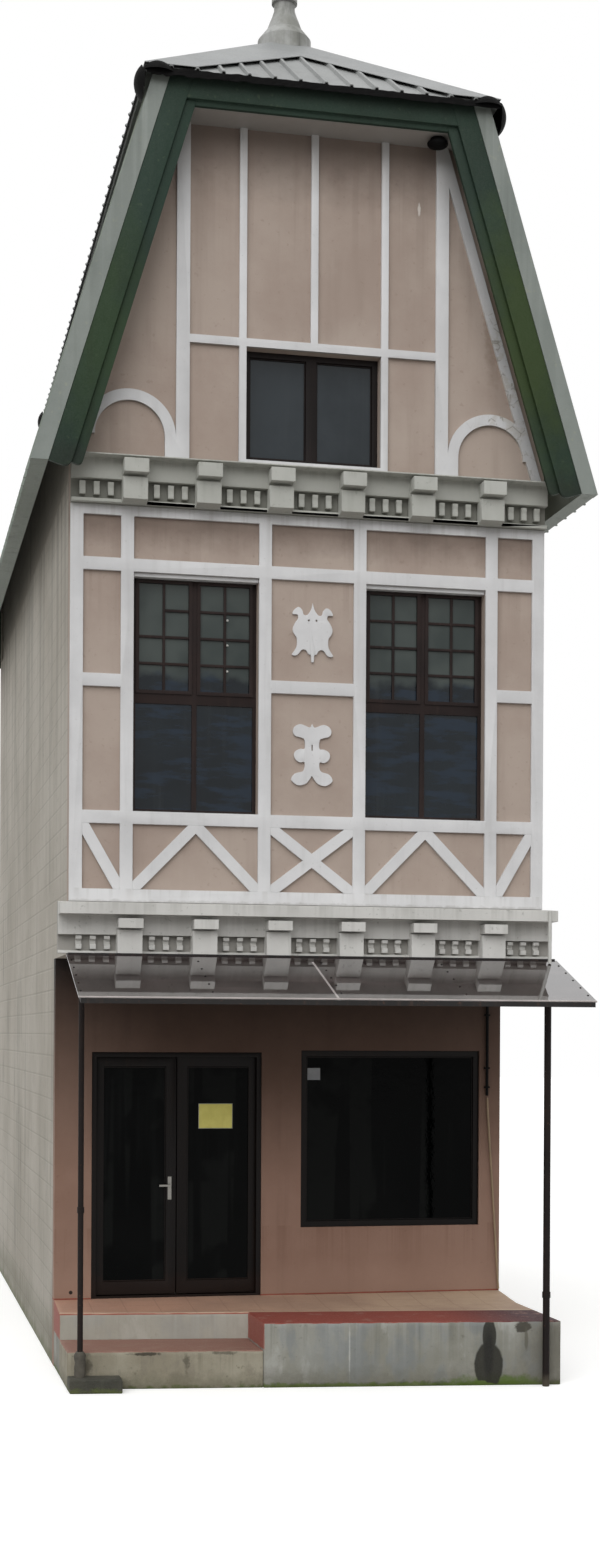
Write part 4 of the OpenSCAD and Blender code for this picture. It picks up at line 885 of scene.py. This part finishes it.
# Round fitting under the soffit
def soffitFitting(bm):
    fitting = {"place": (1.048, -0.17, 10.79), "steps": 32, "profile": (
        (0.0, 0.0), (0.060, 0.0), (0.064, -0.006), (0.064, -0.030), (0.088, -0.036), (0.092, -0.044),
        (0.090, -0.058), (0.078, -0.070), (0.050, -0.080), (0.020, -0.084), (0.0, -0.085))}
    addTurned(bm, fitting["profile"], Matrix.Translation(fitting["place"]), fitting["steps"])


makePiece(soffitFitting, "tar")


# White clips on the left window
def windowClips(bm):
    clip = {"x": -0.733, "levels": (6.578, 6.362, 6.138), "half": 0.009, "deep": 0.012, "soft": 0.005,
            "knob": ((0.0, 0.005), (0.004, 0.004), (0.006, 0.0), (0.006, -0.002), (0.0, -0.002)), "steps": 12}
    x, half = clip["x"], clip["half"]
    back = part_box("bay_window_frames")[0].y
    front = back - clip["deep"]
    for level in clip["levels"]:
        addBlock(bm, (x - half, front, level - half), (x + half, back - seat, level + half), clip["soft"])
        place = Matrix.Translation((x, front, level)) @ Matrix.Rotation(math.pi / 2, 4, "X")
        addTurned(bm, clip["knob"], place, clip["steps"])


makePiece(windowClips, "whitePlastic")

# Beads that hold the glass of the doors, the shop window and the gable's window. The edges are their
# distances from the frame's left, right, foot and head.
joineryBead = {"finish": "brownStain", "body": "building", "mullion": 0.0, "size": 0.013, "soft": 0.005}
smallBead = {**joineryBead, "size": 0.012, "soft": 0.004}
beads = {
    "leftLeafBead": {**joineryBead, "frame": "left_leaf", "edges": (0.082, 0.093, 0.118, 0.092),
                     "body": "left_door"},
    "rightLeafBead": {**joineryBead, "frame": "right_leaf", "edges": (0.093, 0.082, 0.118, 0.092),
                      "body": "right_door"},
    "shopWindowBead": {**smallBead, "frame": "shop_window_frame", "edges": (0.055, 0.055, 0.055, 0.055)},
    "gableWindowBead": {**smallBead, "frame": "gable_window_frame", "edges": (0.05, 0.05, 0.05, 0.05),
                        "mullion": 0.095, "finish": "gableStain"}}


def makeBead(name, bead):
    low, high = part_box(bead["frame"])
    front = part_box(bead["frame"].removesuffix("_frame") + "_glass")[0].y
    left, right, foot, head = bead["edges"]
    middle, half = (low.x + high.x) / 2, bead["mullion"] / 2
    ends = (low.x + left, middle - half, middle + half, high.x - right)
    bm = bmesh.new()
    for start, end in zip(ends[::2], ends[1::2]) if half else ((ends[0], ends[3]),):
        addRing(bm, (start, front - bead["size"], low.z + foot), (end, front - seat, high.z - head),
                bead["size"], bead["soft"])
    addPiece(name, bm, bead["finish"], bead["body"], 25)


for name, bead in beads.items():
    makeBead(name, bead)


# Pale fillet at the head of each bay window
def headFillets(bm):
    fillet = {"outer": 1.559, "inner": 0.476, "down": 0.034, "soft": 0.004, "front": 0.002, "back": 0.001,
              "head": 0.0005}
    low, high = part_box("bay_window_frames")
    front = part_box("bay_timbers")[1].y
    for start, end in ((-fillet["outer"], -fillet["inner"]), (fillet["inner"], fillet["outer"])):
        addBlock(bm, (start, front + fillet["front"], high.z - fillet["down"]),
                 (end, low.y - fillet["back"], high.z - fillet["head"]), fillet["soft"])


makePiece(headFillets, "whitePaint", angle=25)


# Tarry ragged strip under the front eave, thickest beside the left hood
def raggedStrip(bm):
    strip = {"inset": 0.02, "off": 0.004, "drop": 0.016, "hang": 0.045, "thick": 0.003, "steps": 260,
             "rows": 5}
    low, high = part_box("eaves_trim")

    def lie(across, up):
        x = low.x + strip["inset"] + across * (high.x - low.x - 2 * strip["inset"])
        ragged = 0.5 + 0.5 * wave(x, 9, 1.7) + 0.35 * wave(x, 31, 4.2)
        foot = low.z - strip["drop"] - strip["hang"] * ragged * (0.35 + 0.65 * max(0.0, 0.5 - across) * 2)
        head = high.z + 0.008 * wave(x, 14, 8.8)
        out = strip["off"] + 0.004 * (1 + wave(x * 1.3 + up, 17, 6.1))
        return x, low.y - out, foot + up * (head - foot)

    addGrid(bm, strip["steps"], strip["rows"], lie)
    bmesh.ops.solidify(bm, geom=bm.faces[:], thickness=strip["thick"])


makePiece(raggedStrip, "tar", angle=60)


# Dark blocks in the ends of the hipped roof's ribs: painted shade in the rib hollows
def ribEnds(bm):
    rib = {"step": 0.22, "low": 0.002, "high": 0.018, "half": 0.015, "out": -0.003, "in": -0.0004, "front": 6,
           "side": 22, "lift": 0.011, "taper": 0.62, "inset": 0.006}
    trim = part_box("eaves_trim")
    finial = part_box("finial")
    middle = (trim[0].y + trim[1].y) / 2
    eave = trim[1].z
    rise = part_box("hip_roof")[1].z - eave
    sideOut, frontOut = trim[1].x - rib["inset"], middle - trim[0].y - rib["inset"]
    frontRun = (finial[0].y + finial[1].y) / 2 - trim[0].y - rib["inset"]
    for turn in (0, 90, 180, 270):
        ends = turn in (0, 180)
        count, out, run = (rib["front"], frontOut, frontRun) if ends else (rib["side"], sideOut, sideOut)
        slope = math.atan(rise / run)
        for i in range(-count, count + 1):
            made = addBlock(bm, (-rib["half"], rib["out"], rib["low"]), (rib["half"], rib["in"], rib["high"]))
            for point in made:
                if point.co.z > rib["lift"]:
                    point.co.x *= rib["taper"]
            place = (Matrix.Translation((0, middle, 0)) @ Matrix.Rotation(math.radians(turn), 4, "Z")
                     @ Matrix.Translation((i * rib["step"], -out, eave)) @ Matrix.Rotation(slope, 4, "X"))
            bmesh.ops.transform(bm, matrix=place, verts=made)


makePiece(ribEnds, "tar")


# Screws with washers along the canopy's rafters
def canopyScrews(bm):
    screw = {"rows": 5, "columns": 5, "inset": 0.05, "side": 0.03, "steps": 8, "profile": (
        (0.0, 0.006), (0.0045, 0.006), (0.005, 0.002), (0.010, 0.0015), (0.0105, 0.0), (0.0, 0.0))}
    gap = (sheetHigh.x - sheetLow.x - 2 * screw["side"]) / (screw["columns"] - 1)
    for column in range(screw["columns"]):
        for row in range(screw["rows"]):
            share = (row + 0.5) / screw["rows"]
            y = sheetLow.y + screw["inset"] + share * (sheetDeep - 2 * screw["inset"])
            z = sheetHigh.z - (sheetHigh.y - y) * math.tan(sheetSlope) + seat
            place = Matrix.Translation((sheetLow.x + screw["side"] + column * gap, y, z))
            addTurned(bm, screw["profile"], place @ Matrix.Rotation(sheetSlope, 4, "X"), screw["steps"])


makePiece(canopyScrews, "darkSteel")


# Bright angle along the front edge of the canopy
def canopyEdge(bm):
    trim = {"thick": 0.0015, "tall": 0.008, "lap": 0.020, "back": 0.0028, "gap": 0.0002}
    top = trim["thick"] + seat
    made = addBlock(bm, (sheetLow.x, trim["gap"], seat), (sheetHigh.x, trim["lap"], top))
    made += addBlock(bm, (sheetLow.x, -trim["thick"], -trim["tall"]), (sheetHigh.x, 0.0, top))
    place = Matrix.Translation((0, sheetLow.y + trim["back"], sheetHigh.z - sheetDeep * math.tan(sheetSlope)))
    bmesh.ops.transform(bm, matrix=place @ Matrix.Rotation(sheetSlope, 4, "X"), verts=made)


makePiece(canopyEdge, "edging")


# Lumpy cement round the foot of the left post
def postStub(bm):
    stub = {"radius": 0.047, "foot": 0.12, "head": 0.335, "rings": 14, "sides": 28, "lump": 0.007,
            "lumpScale": 22, "post": 0.0242, "inset": 0.03, "front": -0.36}
    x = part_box("canopy_posts")[0].x + stub["inset"]
    y = stub["front"] - porch["slant"] * x
    profile = [(stub["post"], stub["head"])]
    for i in range(stub["rings"] + 1):
        share = 1 - i / stub["rings"]
        radius = stub["post"] + (stub["radius"] - stub["post"]) * min(1.0, (1.02 - share) * 6) ** 0.5
        profile.append((radius, stub["foot"] + share * (stub["head"] - stub["foot"])))
    profile += [(stub["post"], stub["foot"]), profile[0]]
    addTurned(bm, profile, Matrix.Translation((x, y, 0)), stub["sides"])
    for point in bm.verts:
        away = Vector((point.co.x - x, point.co.y - y, 0))
        if away.length > stub["post"] + 0.001:
            point.co += away.normalized() * stub["lump"] * rough.noise(point.co * stub["lumpScale"])


makePiece(postStub, "cement", angle=70)
print("pieces added")

# Stage and light
stage = {"size": 120, "floorSeen": "#f2f2f1", "floorLit": "#85827e", "glow": 0.30, "zenith": 0.88,
         "horizon": 0.32, "sun": 1.62, "sunWidth": 60, "sunTurn": (50, 0, -24)}


def seenBy(tree):
    # one for the camera, and for what it sees mirrored or through glass
    path = addNode(tree, "LightPath").outputs
    seen = reckon("MAXIMUM", path["Is Camera Ray"], path["Is Glossy Ray"])
    return reckon("MAXIMUM", seen, path["Is Transmission Ray"])


def makeStage():
    mesh = bpy.data.meshes.new("floor")
    bm = bmesh.new()
    bmesh.ops.create_grid(bm, x_segments=1, y_segments=1, size=stage["size"])
    bm.to_mesh(mesh)
    bm.free()
    white, tree = newMaterial("floorWhite")
    seen = seenBy(tree)
    fillInputs(tree.nodes["Principled BSDF"], {
        "Base Color": mixPaint(seen, paint(stage["floorLit"]), paint(stage["floorSeen"])),
        "Emission Strength": times(seen, stage["glow"]), "Emission Color": (1, 1, 1, 1),
        "Roughness": 0.9, "Specular IOR Level": 0.1})
    mesh.materials.append(white)
    newObject("floor", mesh)


def makeLight():
    world = bpy.data.worlds.new("world")
    scene.world = world
    world.use_nodes = True
    tree = world.node_tree
    up = axes(tree, addNode(tree, "TexCoord").outputs["Generated"])[2]
    lit = spread(up, -0.1, 0.9, stage["horizon"], stage["zenith"])  # brighter overhead
    lit = addNode(tree, "Mix", {0: seenBy(tree), 2: lit, 3: 1.0}, data_type="FLOAT").outputs[0]
    fillInputs(tree.nodes["Background"], {"Strength": lit, "Color": (1, 1, 1, 1)})
    lamp = bpy.data.lights.new("sun", "SUN")
    lamp.energy = stage["sun"]
    lamp.angle = math.radians(stage["sunWidth"])
    newObject("sun", lamp).rotation_euler = [math.radians(turn) for turn in stage["sunTurn"]]


makeStage()
makeLight()
print("stage and light set")
